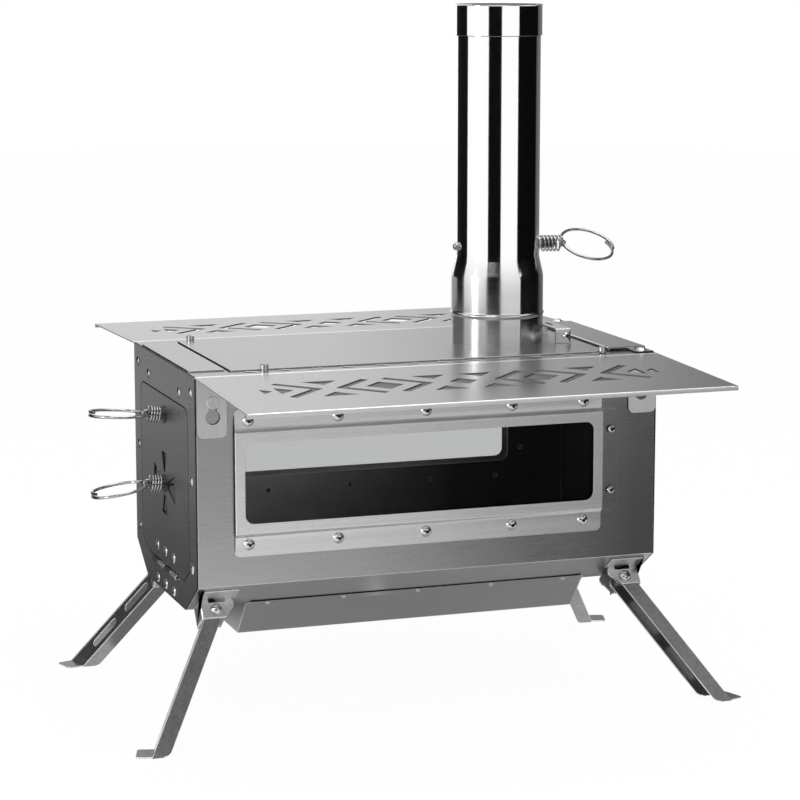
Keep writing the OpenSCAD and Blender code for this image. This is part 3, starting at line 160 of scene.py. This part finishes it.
# Each card spans two bearings in degrees (0 faces the stove's front, 90 its right end) and two
# (distance, height) points. Its light runs from the first value to the second between the
# bearings, or with the distance where the last column says so.
for number, (first, last, near, far, light_from, light_to, outward) in enumerate((
        (-43, -7, (1.15, 0.0), (1.15, 0.8), 0.004, 0.004, False),
        (38, 103, (1.15, 0.0), (1.15, 0.8), 0.003, 0.003, False),
        (103, 136, (1.15, 0.0), (1.15, 1.7), 0.08, 0.22, False),
        (136, 165, (1.15, 0.0), (1.15, 1.7), 0.22, 0.98, False),
        (-142, -112, (1.15, 0.0), (1.15, 0.75), 0.006, 0.006, False),
        (-180, -142, (1.15, 0.10), (1.15, 0.30), 0.40, 0.40, False),
        (-167, -142, (1.15, 0.30), (1.15, 0.75), 0.01, 0.01, False),
        (-180, -100, (0.36, 0.004), (1.14, 0.10), 0.03, 0.36, True),
        (-8, 12, (0.36, 0.004), (0.95, 0.004), 1.00, 0.74, False),
        (12, 24, (0.36, 0.004), (0.95, 0.004), 0.74, 0.20, False),
        (24, 60, (0.36, 0.004), (0.95, 0.004), 0.20, 0.03, False),
        (-8, 12, (0.95, 0.004), (2.2, 0.004), 0.40, 0.34, False),
        (12, 24, (0.95, 0.004), (2.2, 0.004), 0.34, 0.04, False),
        (24, 60, (0.95, 0.004), (2.2, 0.004), 0.04, 0.005, False),
        (-180, 180, (0.01, 0.005), (0.27, 0.005), 0.40, 0.44, True),
        (-100, 103, (1.14, 1.00), (0.80, 1.35), 0.02, 0.02, False),
)):
    card = bmesh.new()
    bmesh.ops.create_grid(card, x_segments=48, y_segments=2, size=0.5)
    for corner in card.verts:
        across, up = corner.co.x + 0.5, corner.co.y + 0.5
        bearing = math.radians(first + (last - first) * across)
        away, height = Vector(near).lerp(Vector(far), up)
        corner.co = (away * math.sin(bearing), -away * math.cos(bearing), height)
    card_finish, paint = new_finish(f"studio_card_{number}")
    side = paint.make("ShaderNodeSeparateXYZ", {}, {0: paint.make("ShaderNodeTexCoord", {}, {}, 3)})
    depth = Tone(paint.tree, side.socket.node.outputs[1])
    if outward:
        share = ((side * side + depth * depth) ** 0.5 - near[0]) / (far[0] - near[0])
    else:
        bearing = paint.maths("ARCTAN2", side, depth * -1.0)
        share = (bearing - math.radians(first)) / math.radians(last - first)
    glow = light_from + (light_to - light_from) * share
    paint.make("ShaderNodeOutputMaterial", {}, {
        0: paint.make("ShaderNodeEmission", {}, {0: glow, 1: 1.0})})
    piece = stage_piece(f"studio_card_{number}", card, card_finish)
    piece.visible_camera = False
    piece.visible_diffuse = False
    piece.visible_transmission = False
    piece.visible_shadow = False

STOVE_MIDDLE = Vector((0, 0, 0.25))
for name, place, size, watts in (
        ("lamp_over", (0.1, -0.2, 2.4), 2.2, 26),
        ("lamp_front", (-1.5, -2.2, 1.9), 1.4, 14),
        ("lamp_right", (2.2, -1.4, 1.6), 1.2, 4),
        ("lamp_left", (-1.9, -0.45, 0.5), 0.5, 7),
):
    lamp = bpy.data.objects.new(name, bpy.data.lights.new(name, "AREA"))
    lamp.data.shape = "DISK"
    lamp.data.size = size
    lamp.data.energy = watts
    lamp.location = place
    lamp.rotation_euler = (STOVE_MIDDLE - Vector(place)).to_track_quat("-Z", "Y").to_euler()
    scene.collection.objects.link(lamp)


# Firebox shell: one thin stainless sheet bent round the floor and both long walls, closed by
# two riveted end plates. Satin mill finish with faint rolling grain and handling marks.
CLOUDS_A_METRE, FLECKS_A_METRE = 9.0, 900.0
# How far from a bend its painted highlight is full, where it has gone, and how much it adds
BEND_CORE, BEND_EDGE, BEND_PAINTED_HIGHLIGHT = 0.0015, 0.004, 0.9


def steel(name, light, rough, grain, depth=0.00002, cloud=0.10, fleck=0.10, spread=0.10,
          bend_y=None, fade=None):
    """Stainless steel. grain is how many marks a metre it has along X, Y and Z, depth how deep
    they are in metres, and cloud, fleck and spread how much its tone and its roughness vary. A
    painted highlight lies along a bend at bend_y from the middle. fade paints light or shade along
    X: two places and the share of the tone that is left at the second."""
    material, tone = new_finish(name)
    where = tone.make("ShaderNodeTexCoord", {}, {}, 3)
    lines = tone.make("ShaderNodeMapping", {}, {0: where, 3: grain})
    streaks = tone.make("ShaderNodeTexNoise", {}, {0: lines, 2: 1.0, 3: 4.0, 4: 0.62})
    clouds = tone.make("ShaderNodeTexNoise", {}, {0: where, 2: CLOUDS_A_METRE, 3: 3.0, 4: 0.55})
    flecks = tone.make("ShaderNodeTexNoise", {}, {0: where, 2: FLECKS_A_METRE, 3: 2.0, 4: 0.5})
    shade = 1 + cloud * (clouds - 0.5) * 2 + fleck * (flecks - 0.5) * 2 + fleck * (streaks - 0.5) * 2
    # Painted light or shade that runs along X
    if fade:
        along = tone.make("ShaderNodeSeparateXYZ", {}, {0: where})
        shade = shade * tone.make("ShaderNodeMapRange", {}, {
            0: along, 1: fade[0], 2: fade[1], 3: 1.0, 4: fade[2]})
    # A painted highlight along a bend
    if bend_y:
        beside = tone.make("ShaderNodeSeparateXYZ", {}, {0: where}, 1)
        near = tone.maths("ABSOLUTE", tone.maths("ABSOLUTE", beside) - bend_y)
        shade = shade + tone.make("ShaderNodeMapRange", {}, {
            0: near, 1: BEND_CORE, 2: BEND_EDGE, 3: BEND_PAINTED_HIGHLIGHT, 4: 0.0})
    colour = tone.make("ShaderNodeMix", {"data_type": "RGBA", "clamp_factor": False},
                       {0: shade - 0.5, 6: (light * 0.5, light * 0.5, light * 0.505, 1),
                        7: (light * 1.5, light * 1.5, light * 1.49, 1)}, 2)
    dull = rough + spread * (streaks - 0.5) + spread * (clouds - 0.5)
    bump = tone.make("ShaderNodeBump", {}, {0: 0.5, 1: depth, "Height": streaks + flecks * 0.5}, 0)
    shader = tone.make("ShaderNodeBsdfPrincipled", {}, {
        "Base Color": colour, "Metallic": 1.0, "Roughness": dull, "Normal": bump})
    tone.make("ShaderNodeOutputMaterial", {}, {0: shader})
    return material


def give(material, *names):
    """Sets the one finish of CAD pieces that need no rounded edges."""
    for name in names:
        node = frame["nodes"][name]
        if not node.material_slots:
            node.data.materials.append(material)
        for place in node.material_slots:
            place.material = material


# Painted highlight on cut edges and bends
edge_highlight_steel = steel("edge_highlight_steel", 0.80, 0.38, (90, 90, 90), cloud=0.05, fleck=0.05)
# Painted shade in slots and sockets and on the rims of heads and plates
shade_steel = steel("shade_steel", 0.05, 0.5, (120, 120, 120))


MM = 0.001
MERGE = 2e-6
SHEET_EDGE = 1.6 * MM  # no cut edge is broader
SHARP, SHARP_SHARE = 0.9, 0.2  # radians at a cut edge's corners, and how much of its outline has them
BEND_LENGTH, BEND_BREADTH = 12 * MM, 3 * MM  # a bend's line is longer, and the faces beside it broader
MAIN, BRIGHT, EXTRA, SECOND_EXTRA = range(4)


def sheet_piece(node, material, edge=0.25, bend=1.0, others=(), where=None,
                rim=lambda face: BRIGHT):
    """A copy of a CAD piece with its cut edges broken by edge and its bends rounded by bend, in
    millimetres. where(face), and rim(face) on cut edges, give the number of a face's finish:
    MAIN is the material, BRIGHT the edge steel, which paints a highlight, and EXTRA the first
    of the others. Bends, and cut edges unless rim says otherwise, get the painted highlight."""
    source = frame["nodes"][node]
    shape = bmesh.new()
    shape.from_mesh(source.data)
    bmesh.ops.remove_doubles(shape, verts=shape.verts, dist=MERGE)
    bmesh.ops.dissolve_limit(shape, angle_limit=math.radians(0.3), verts=shape.verts, edges=shape.edges)

    def breadth(face):
        return face.calc_area() / max(e.calc_length() for e in face.edges)

    def is_cut(face):
        sharp = sum(e.calc_length() for e in face.edges if e.is_manifold and e.calc_face_angle(0) > SHARP)
        outline = sum(e.calc_length() for e in face.edges)
        return breadth(face) < SHEET_EDGE and sharp > SHARP_SHARE * outline

    for face in shape.faces:
        face.material_index = where(face) if where else MAIN
        if face.material_index == MAIN and is_cut(face):
            face.material_index = rim(face)

    def convex(degrees):
        least = math.radians(degrees)
        return [e for e in shape.edges if e.is_manifold and e.calc_face_angle_signed(0) > least]

    def round_off(edges, size, segments, finish):
        if not (size and edges):
            return
        made = bmesh.ops.bevel(shape, geom=edges, offset=MM * size, offset_type="OFFSET",
                               segments=segments, profile=0.5, affect="EDGES", clamp_overlap=False,
                               material=-1)
        for face in made["faces"]:
            face.material_index = finish(face)

    bends = [e for e in convex(20)
             if e.calc_length() > BEND_LENGTH and min(map(breadth, e.link_faces)) > BEND_BREADTH]
    # Bends take the painted highlight
    round_off(bends, bend, 4, lambda face: BRIGHT)
    round_off(convex(50), edge, 2, rim)
    mesh = bpy.data.meshes.new(f"{node}_sheet")
    shape.to_mesh(mesh)
    shape.free()
    for face in mesh.polygons:
        face.use_smooth = True
    mesh.set_sharp_from_angle(angle=math.radians(35))
    for finish in (material, edge_highlight_steel, *others):
        mesh.materials.append(finish)
    piece = bpy.data.objects.new(f"{node}_sheet", mesh)
    flat = piece.modifiers.new("flat_faces", "WEIGHTED_NORMAL")
    flat.mode = "FACE_AREA"
    flat.weight = 100
    flat.keep_sharp = True
    scene.collection.objects.link(piece)
    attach(piece, source["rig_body"])
    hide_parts(node)
    return piece


# The shell's tone drops towards the far end: painted shade
shell_steel = steel("shell_steel", 0.41, 0.28, (40, 420, 420), depth=0.00001, spread=0.06,
                    fade=(0.13, 0.2, 0.62))
end_steel = steel("end_steel", 0.37, 0.31, (150, 150, 350), cloud=0.22, fleck=0.5, spread=0.2)
# Painted shade: a darker steel for parts inside the firebox and the flue, and the tube's inside
inner_steel = steel("inner_steel", 0.20, 0.45, (60, 60, 60), cloud=0.25)


FIREBOX_MIDDLE = Vector((0, 0, 0.213))


def inside(face):
    """Painted shade on the faces that look into the firebox."""
    return EXTRA if face.normal.dot(face.calc_center_median() - FIREBOX_MIDDLE) < 0 else MAIN


# Painted shade inside the firebox: pale at the door end, nearly black towards the far end
inside_shade_steel = steel("inside_shade_steel", 0.95, 0.5, (30, 80, 80), cloud=0.3, fleck=0.1,
                   fade=(-0.2, 0.10, 0.03))
sheet_piece("firebox_wrap", shell_steel, edge=0.42, bend=0, others=(inside_shade_steel,), where=inside)
sheet_piece("flue_collar", shell_steel, bend=0)
# The end plates have painted shade on their inner faces and their cut edges
for node in ("door_end_plate", "far_end_plate"):
    sheet_piece(node, end_steel, edge=0.5, bend=0, others=(inside_shade_steel, shade_steel),
                where=inside, rim=lambda face: SECOND_EXTRA)
give(inner_steel, "door_stop_frame", "baffle_plate", "fire_grate")

# Top: a plate with a cooking opening, strips along its ends, the lift-out cook plate and its
# bridge. Cut from pre-polished sheet, brushed along the stove.
top_steel = steel("top_steel", 0.39, 0.30, (5, 520, 520), cloud=0.08, fleck=0.12)
TOP_INNER_X, TOP_INNER_Y = 0.215, 0.110


def slot_walls(face):
    """Painted shade on the walls of the top plate's openings, but not round its outer edge."""
    place = face.calc_center_median()
    within = abs(place.x) < TOP_INNER_X and abs(place.y) < TOP_INNER_Y
    return EXTRA if within and face.normal.z < 0.5 else MAIN


sheet_piece("top_plate", top_steel, edge=0.3, others=(shade_steel,), where=slot_walls)
# Painted shade on the cut edges of the strip and the cook plate that face the stove's ends
for node in ("left_top_strip", "cook_plate"):
    sheet_piece(node, top_steel, edge=0.4, others=(shade_steel,),
                rim=lambda face: EXTRA if abs(face.normal.y) < 0.2 else MAIN)
# Painted shade on all the strap's cut edges
sheet_piece("right_top_strap", top_steel, edge=0.4, others=(shade_steel,),
            rim=lambda face: EXTRA)
# Painted shade on all the bridge's cut edges
sheet_piece("lift_bridge", steel("bridge_steel", 0.6, 0.22, (300, 10, 300)),
            others=(shade_steel,), rim=lambda face: EXTRA)

# Windows: pressed frames brushed along their length hold ceramic glass panes, with a small
# stop at one end of each pane.
frame_steel = steel("frame_steel", 0.74, 0.40, (4, 700, 700), cloud=0.06, fleck=0.16)
for node in ("front_window_frame", "rear_window_frame"):
    sheet_piece(node, frame_steel, bend=0.8)
for node in ("front_glass_stop", "rear_glass_stop"):
    sheet_piece(node, shell_steel, edge=0.12, bend=0)
glass_finish, paint = new_finish("stove_glass")
smears = paint.make("ShaderNodeTexNoise", {}, {
    0: paint.make("ShaderNodeTexCoord", {}, {}, 3), 2: 14.0, 3: 3.0})
glass_shader = paint.make("ShaderNodeBsdfPrincipled", {}, {
    "Base Color": (0.70, 0.705, 0.705, 1), "Roughness": 0.02 + 0.03 * smears, "IOR": 1.15,
    "Transmission Weight": 1.0})
paint.make("ShaderNodeOutputMaterial", {}, {0: glass_shader})
give(glass_finish, "front_glass", "rear_glass")

# Door: a plain plate on a riveted hinge along its lower edge, with a pawl latch above and a
# rotary draught disc behind the rosette of slots.
door_steel = steel("door_steel", 0.32, 0.31, (150, 150, 350), cloud=0.22, fleck=0.5, spread=0.2)
# Painted shade on the door's cut edges, round its slots too
sheet_piece("door", door_steel, others=(shade_steel,), rim=lambda face: EXTRA)
give(door_steel, "air_disc")
# One steel in two tones: the door's leaf dark, painted shade, the body's pale, a painted highlight
sheet_piece("door_hinge_leaf", steel("door_leaf_shade_steel", 0.10, 0.30, (300, 20, 300)), bend=0,
            rim=lambda face: MAIN)
sheet_piece("body_hinge_leaf", steel("body_leaf_highlight_steel", 0.72, 0.26, (300, 20, 300)), bend=0,
            rim=lambda face: MAIN)
give(door_steel, "latch_pawl")
give(steel("turned_steel", 0.14, 0.30, (200, 200, 200)), "latch_spindle", "air_spindle", "hinge_pin")

# Door handles: a close coil of spring wire on each spindle ends in an eye, and the eye holds
# a loose ring of thicker wire. Both stay cool because they are only thin wire.
wire_steel = steel("wire_steel", 0.42, 0.12, (80, 80, 80), cloud=0.05, fleck=0.05, spread=0.06)


def wire(name, points, thick, body, node):
    """A round wire through points, given in millimetres."""
    line = bpy.data.curves.new(name, "CURVE")
    line.dimensions = "3D"
    line.bevel_depth = MM * thick / 2
    line.bevel_resolution = 4
    line.use_fill_caps = True
    spline = line.splines.new("POLY")
    spline.points.add(len(points) - 1)
    for place, point in zip(spline.points, points):
        place.co = (*(MM * Vector(point)), 1)
    spline.use_smooth = True
    line.materials.append(wire_steel)
    piece = bpy.data.objects.new(name, line)
    scene.collection.objects.link(piece)
    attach(piece, body)
    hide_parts(node)
    return piece


# Radii and wires of the coil and the ring, and the radius of the eye, which leaves some play.
# Then how far the eye's middle stands from the coil, how far the wire between them runs straight
# on from each, how many degrees the eye and the ring go round, and the ring's pitch.
coil_r, coil_thick, ring_r, ring_thick = 6.9, 2.0, 25.6, 2.8
eye_r = ring_thick / 2 + coil_thick / 2 + 0.35
EYE_STAND, COIL_PULL, EYE_PULL = 2.3, 4.5, 2.25
EYE_TURN, RING_TURN, RING_PITCH = 235, 400, 3.3
TURN_STEPS, NECK_STEPS, EYE_STEPS, RING_STEPS = 40, 12, 24, 160


def coil_points(turns, pitch):
    """The middle line of a coil along X that ends in an eye, and where the eye's middle is."""
    end = coil_thick + turns * pitch
    eye = end + EYE_STAND
    start = math.radians(90) - 2 * math.pi * turns
    steps = round(turns * TURN_STEPS)
    points = [Vector((0, coil_r * math.cos(start), coil_r * math.sin(start)))]
    for i in range(steps + 1):
        a = start + 2 * math.pi * turns * i / steps
        along = coil_thick + turns * pitch * i / steps
        points.append(Vector((along, coil_r * math.cos(a), coil_r * math.sin(a))))
    p0 = Vector((end, 0, coil_r))
    p3 = Vector((eye, 0, eye_r))
    p1 = p0 + COIL_PULL * Vector((pitch, -2 * math.pi * coil_r, 0)).normalized()
    p2 = p3 - Vector((EYE_PULL, 0, 0))
    for i in range(1, NECK_STEPS + 1):
        q = i / NECK_STEPS
        points.append((1 - q) ** 3 * p0 + 3 * (1 - q) ** 2 * q * p1
                      + 3 * (1 - q) * q * q * p2 + q ** 3 * p3)
    for i in range(1, EYE_STEPS + 1):
        a = math.radians(90 - EYE_TURN * i / EYE_STEPS)
        points.append(Vector((eye + eye_r * math.cos(a), 0, eye_r * math.sin(a))))
    return points, eye


def ring_points():
    """The middle line of a ring that hangs out along X from the eye."""
    points = []
    for i in range(RING_STEPS + 1):
        a = math.radians(RING_TURN * (i / RING_STEPS - 0.5))
        aside = RING_PITCH * a / (2 * math.pi)
        points.append(Vector((ring_r * (1 - math.cos(a)), ring_r * math.sin(a), aside)))
    return points


def handle(label, turns, pitch, lean, tilt, foot, body, mirrored=False, roll=0.0):
    """Places a coil and its ring on a spindle whose face is at foot, in millimetres. The coil
    leans, the ring tilts further and both roll about the spindle, in degrees."""
    coil, eye = coil_points(turns, pitch)
    out = (coil_r + coil_thick / 2) * abs(math.sin(math.radians(lean)))
    stand = Matrix.Translation(Vector(foot))
    if mirrored:
        stand = stand @ Matrix.Diagonal((-1, 1, 1, 1))
    stand = stand @ Matrix.Rotation(math.radians(roll), 4, "X") @ Matrix.Translation((out, 0, 0))
    stand = stand @ Matrix.Rotation(math.radians(lean), 4, "Y")
    hang = stand @ Matrix.Translation((eye, 0, 0)) @ Matrix.Rotation(math.radians(tilt), 4, "Y")
    wire(f"{label}_coil_wire", [stand @ p for p in coil], coil_thick, body, f"{label}_coil")
    wire(f"{label}_ring_wire", [hang @ p for p in ring_points()], ring_thick, body, f"{label}_ring")


handle("latch", turns=4, pitch=2.5, lean=-6, tilt=3, foot=(-221.5, 0, 271), body="latch",
       mirrored=True, roll=-3.5)
handle("air", turns=4, pitch=2.5, lean=-4, tilt=13, foot=(-221.5, 0, 207), body="air_control",
       mirrored=True, roll=-3.5)

# Flue: one polished tube, swaged out at its base over the collar, with a bead, and belled at
# the top for the next length.
# Heights where the mirror turns satin, and how far the painted shade there darkens the tone
MIRROR_FROM, SATIN_BELOW, BASE_PAINTED_SHADE = 0.410, 0.372, 0.32


def polished(name):
    """Mirror tube that turns satin towards its drawn base, where its tone is darkened as painted shade.
    """
    material, tone = new_finish(name)
    where = tone.make("ShaderNodeTexCoord", {}, {}, 3)
    parts = tone.make("ShaderNodeSeparateXYZ", {}, {0: where}, 2)
    satin = tone.make("ShaderNodeMapRange", {"interpolation_type": "SMOOTHSTEP"},
                      {0: parts, 1: MIRROR_FROM, 2: SATIN_BELOW, 3: 0.0, 4: 1.0})
    lines = tone.make("ShaderNodeMapping", {}, {0: where, 3: (140, 140, 5)})
    rings = tone.make("ShaderNodeMapping", {}, {0: where, 3: (8, 8, 500)})
    drawn = tone.make("ShaderNodeTexNoise", {}, {0: lines, 2: 1.0, 3: 3.0})
    spun = tone.make("ShaderNodeTexNoise", {}, {0: rings, 2: 1.0, 3: 3.0})
    shade = 0.99 + 0.04 * (drawn - 0.5) - BASE_PAINTED_SHADE * satin
    colour = tone.make("ShaderNodeMix", {"data_type": "RGBA"},
                       {0: shade, 6: (0, 0, 0, 1), 7: (1, 1, 1, 1)}, 2)
    dull = 0.07 + 0.04 * (drawn - 0.5) + satin * (0.11 + 0.10 * (spun - 0.5))
    bump = tone.make("ShaderNodeBump", {}, {0: 0.4, 1: 0.000006, "Height": drawn + spun * satin})
    tone.make("ShaderNodeOutputMaterial", {}, {0: tone.make("ShaderNodeBsdfPrincipled", {}, {
        "Base Color": colour, "Metallic": 1.0, "Roughness": dull, "Normal": bump})})
    return material


pipe_finish = polished("pipe_polish")


# The seam's flat rib up the swaged base: its bearing and half-width in degrees, its top, the
# radius outside which the tube's corners move, and how far they do
SEAM_SIDE, SEAM_HALF = -81, 2.6
SEAM_TOP, SEAM_INNER_R, SEAM_PROUD = 0.0655, 0.0429, 1.011


def turned(name, profile, centre, material, steps=160):
    """A seamed tube turned about an upright axis, from (radius, height) pairs in millimetres."""
    shape = bmesh.new()
    ring = [shape.verts.new((MM * r, 0, MM * z)) for r, z in profile]
    edges = [shape.edges.new((a, b)) for a, b in zip(ring, ring[1:] + ring[:1])]
    bmesh.ops.spin(shape, geom=ring + edges, cent=(0, 0, 0), axis=(0, 0, 1), angle=2 * math.pi,
                   steps=steps, use_merge=True)
    bmesh.ops.remove_doubles(shape, verts=shape.verts, dist=1e-6)
    for corner in shape.verts:
        side = math.degrees(math.atan2(corner.co.y, corner.co.x))
        outer_base = corner.co.z < SEAM_TOP and corner.co.xy.length > SEAM_INNER_R
        if outer_base and abs(side - SEAM_SIDE) < SEAM_HALF:
            corner.co.xy *= SEAM_PROUD
    bmesh.ops.recalc_face_normals(shape, faces=shape.faces)
    bmesh.ops.translate(shape, verts=shape.verts, vec=MM * Vector(centre))
    mesh = bpy.data.meshes.new(name)
    shape.to_mesh(mesh)
    shape.free()
    for face in mesh.polygons:
        face.use_smooth = True
        # Faces looking into the tube take the inner steel, painted shade
        if face.normal.xy.dot(face.center.xy - MM * Vector(centre).xy) < 0:
            face.material_index = 1  # the tube's inside
    mesh.set_sharp_from_angle(angle=math.radians(40))
    mesh.materials.append(material)
    mesh.materials.append(inner_steel)
    piece = bpy.data.objects.new(name, mesh)
    scene.collection.objects.link(piece)
    return piece


outer = [(43.5, 0), (43.5, 24.8), (43.5, 25.8), (43.85, 26.7), (44.35, 27.6), (44.35, 28.4),
         (43.85, 29.3), (43.5, 30.2), (43.5, 31.2), (43.5, 62), (43.35, 64), (43.0, 66), (40.1, 78.5),
         (39.68, 80.6), (39.5, 83), (39.5, 286.9), (40.75, 287.1), (40.75, 314.2), (41.2, 314.5),
         (41.35, 314.9), (41.2, 315.3), (40.75, 315.5)]
inner = [(39.95, 315.5), (39.95, 287), (38.7, 285.5), (38.7, 82), (42.7, 63), (42.7, 0)]
pipe = turned("flue_tube", outer + inner, (105, 0, 323.5), pipe_finish)
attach(pipe, "flue")
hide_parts("flue_pipe")

# Damper: a disc fixed on a shaft across the flue, turned by a wire handle like the door's. The
# coil stands off the shaft's dark end, and the shaft has a dome nut on the far side.
COIL_FOOT = (146, 0, 414.5)
handle("damper", turns=5.5, pitch=3.8, lean=2, tilt=3, foot=COIL_FOOT, body="damper", roll=26)
give(inner_steel, "damper_plate")
sheet_piece("damper_shaft", steel("shaft_steel", 0.38, 0.22, (200, 200, 200)),
            bend=0, others=(inner_steel,),
            where=lambda face: EXTRA if face.calc_center_median().x > MM * COIL_FOOT[0] else MAIN)

# Side shelves: long plates with a turned lip and a row of triangle cut-outs. Their tabs hook
# over studs on the firebox.
# A painted highlight runs along the shelf's inner bend
shelf_steel = steel("shelf_steel", 0.45, 0.30, (5, 520, 520), cloud=0.08, fleck=0.12, bend_y=0.1135)
# The hooks are paler steel; towards the far end their tone rises by half, a painted highlight
hook_steel = steel("hook_steel", 0.64, 0.36, (300, 20, 60), cloud=0.08, fleck=0.10,
                   fade=(0.0, 0.19, 1.5))
# Painted shade for the walls of the cut-outs and the hooks' edges
cut_shade_steel = steel("cut_shade_steel", 0.16, 0.40, (90, 90, 90))
HOOK, CUT = EXTRA, SECOND_EXTRA
LIP_Y, TAB_TOP = 0.27, 0.312
CUT_OUTS_X, CUT_OUTS_Y = 0.2, 0.125


def among_cut_outs(place):
    return abs(place.x) < CUT_OUTS_X and CUT_OUTS_Y < abs(place.y) < LIP_Y


def shelf_parts(face):
    """A lip with a painted highlight, pale hooks, painted shade on the walls in the cut-outs, and the
    plate itself.
    """
    place = face.calc_center_median()
    if abs(face.normal.y) > 0.9 and (abs(place.y) > LIP_Y or place.z < TAB_TOP):
        return BRIGHT if abs(place.y) > LIP_Y else HOOK
    return CUT if abs(face.normal.z) < 0.5 and among_cut_outs(place) else MAIN


def shelf_rims(face):
    """Cut edges have the painted highlight, apart from those of the hooks and the cut-outs, which have
    painted shade.
    """
    place = face.calc_center_median()
    return CUT if place.z < TAB_TOP or among_cut_outs(place) else BRIGHT


for node in ("front_shelf", "rear_shelf"):
    sheet_piece(node, shelf_steel, edge=0.35, bend=1.3, others=(hook_steel, cut_shade_steel),
                where=shelf_parts, rim=shelf_rims)

# Stand: four channel legs fold on pivot bolts between folded brackets, with a heat-shield pan
# slung under the firebox.
stand_steel = steel("stand_steel", 0.29, 0.34, (260, 260, 260), cloud=0.14, fleck=0.35, spread=0.16)
bracket_steel = steel("bracket_steel", 0.64, 0.34, (60, 60, 60), cloud=0.12, fleck=0.12)


def door_flange_highlight(face):
    """A painted highlight on the flange towards the door."""
    return BRIGHT if face.normal.x < -0.7 else MAIN


for corner in ("front_left", "front_right", "rear_left", "rear_right"):
    sheet_piece(f"{corner}_bracket", bracket_steel, edge=0.4, bend=1.5)
    sheet_piece(f"{corner}_leg", stand_steel, edge=0.4, bend=1.4,
                where=door_flange_highlight if corner == "front_left" else None)
sheet_piece("heat_shield_pan", steel("pan_steel", 0.42, 0.34, (6, 420, 420)), edge=0.4)

# Fasteners: bright button-head screws with drive sockets in painted shade, domed rivets, pivot
# bolts with their nuts, and the studs that carry the shelves.
SOCKET_R, STEEP = 1.75 * MM, 0.35
fastener_steel = steel("fastener_steel", 0.66, 0.20, (120, 120, 120), cloud=0.05, fleck=0.06,
                       spread=0.06)


def low_rim(axis):
    """Painted shade where a head curves steeply down, for heads along axis. Upright heads stay bright."""
    return lambda face: EXTRA if axis < 2 and abs(face.normal[axis]) < STEEP else MAIN


def sockets(node, axis):
    """A test that gives painted shade to the faces within the drive socket of any screw in a node. They
    lie along axis.
    """
    shape = bmesh.new()
    shape.from_mesh(frame["nodes"][node].data)
    bmesh.ops.remove_doubles(shape, verts=shape.verts, dist=MERGE)
    centres, left = [], set(shape.verts)
    while left:
        island, grow = set(), [left.pop()]
        while grow:
            corner = grow.pop()
            island.add(corner)
            for edge in corner.link_edges:
                beside = edge.other_vert(corner)
                if beside in left:
                    left.discard(beside)
                    grow.append(beside)
        places = [corner.co for corner in island]
        low, high = [Vector(map(f, zip(*places))) for f in (min, max)]
        centres.append((low + high) / 2)
    shape.free()

    def within(face):
        middle = face.calc_center_median()
        aside = [c - middle for c in centres]
        for a in aside:
            a[axis] = 0
        return EXTRA if min(a.length for a in aside) < SOCKET_R else MAIN
    return within


for node, axis in (("lift_bridge_screw", 1), ("plate_clamp_screws", 2), ("strap_screws", 2),
                   ("window_screws", 1), ("glass_stop_screws", 1)):
    sheet_piece(node, fastener_steel, edge=0.15, bend=0, others=(shade_steel,),
                where=sockets(node, axis), rim=low_rim(axis))
for node, axis in (("end_plate_rivets", 0), ("door_hinge_rivets", 0), ("body_hinge_rivets", 0),
                   ("leg_pivot_bolts", 1), ("leg_pivot_nuts", 1), ("heat_shield_screws", 2)):
    sheet_piece(node, fastener_steel, edge=0.15, bend=0, others=(shade_steel,),
                rim=low_rim(axis))
sheet_piece("shelf_studs", steel("stud_steel", 0.62, 0.22, (200, 200, 200)), edge=0.4,
            bend=0)
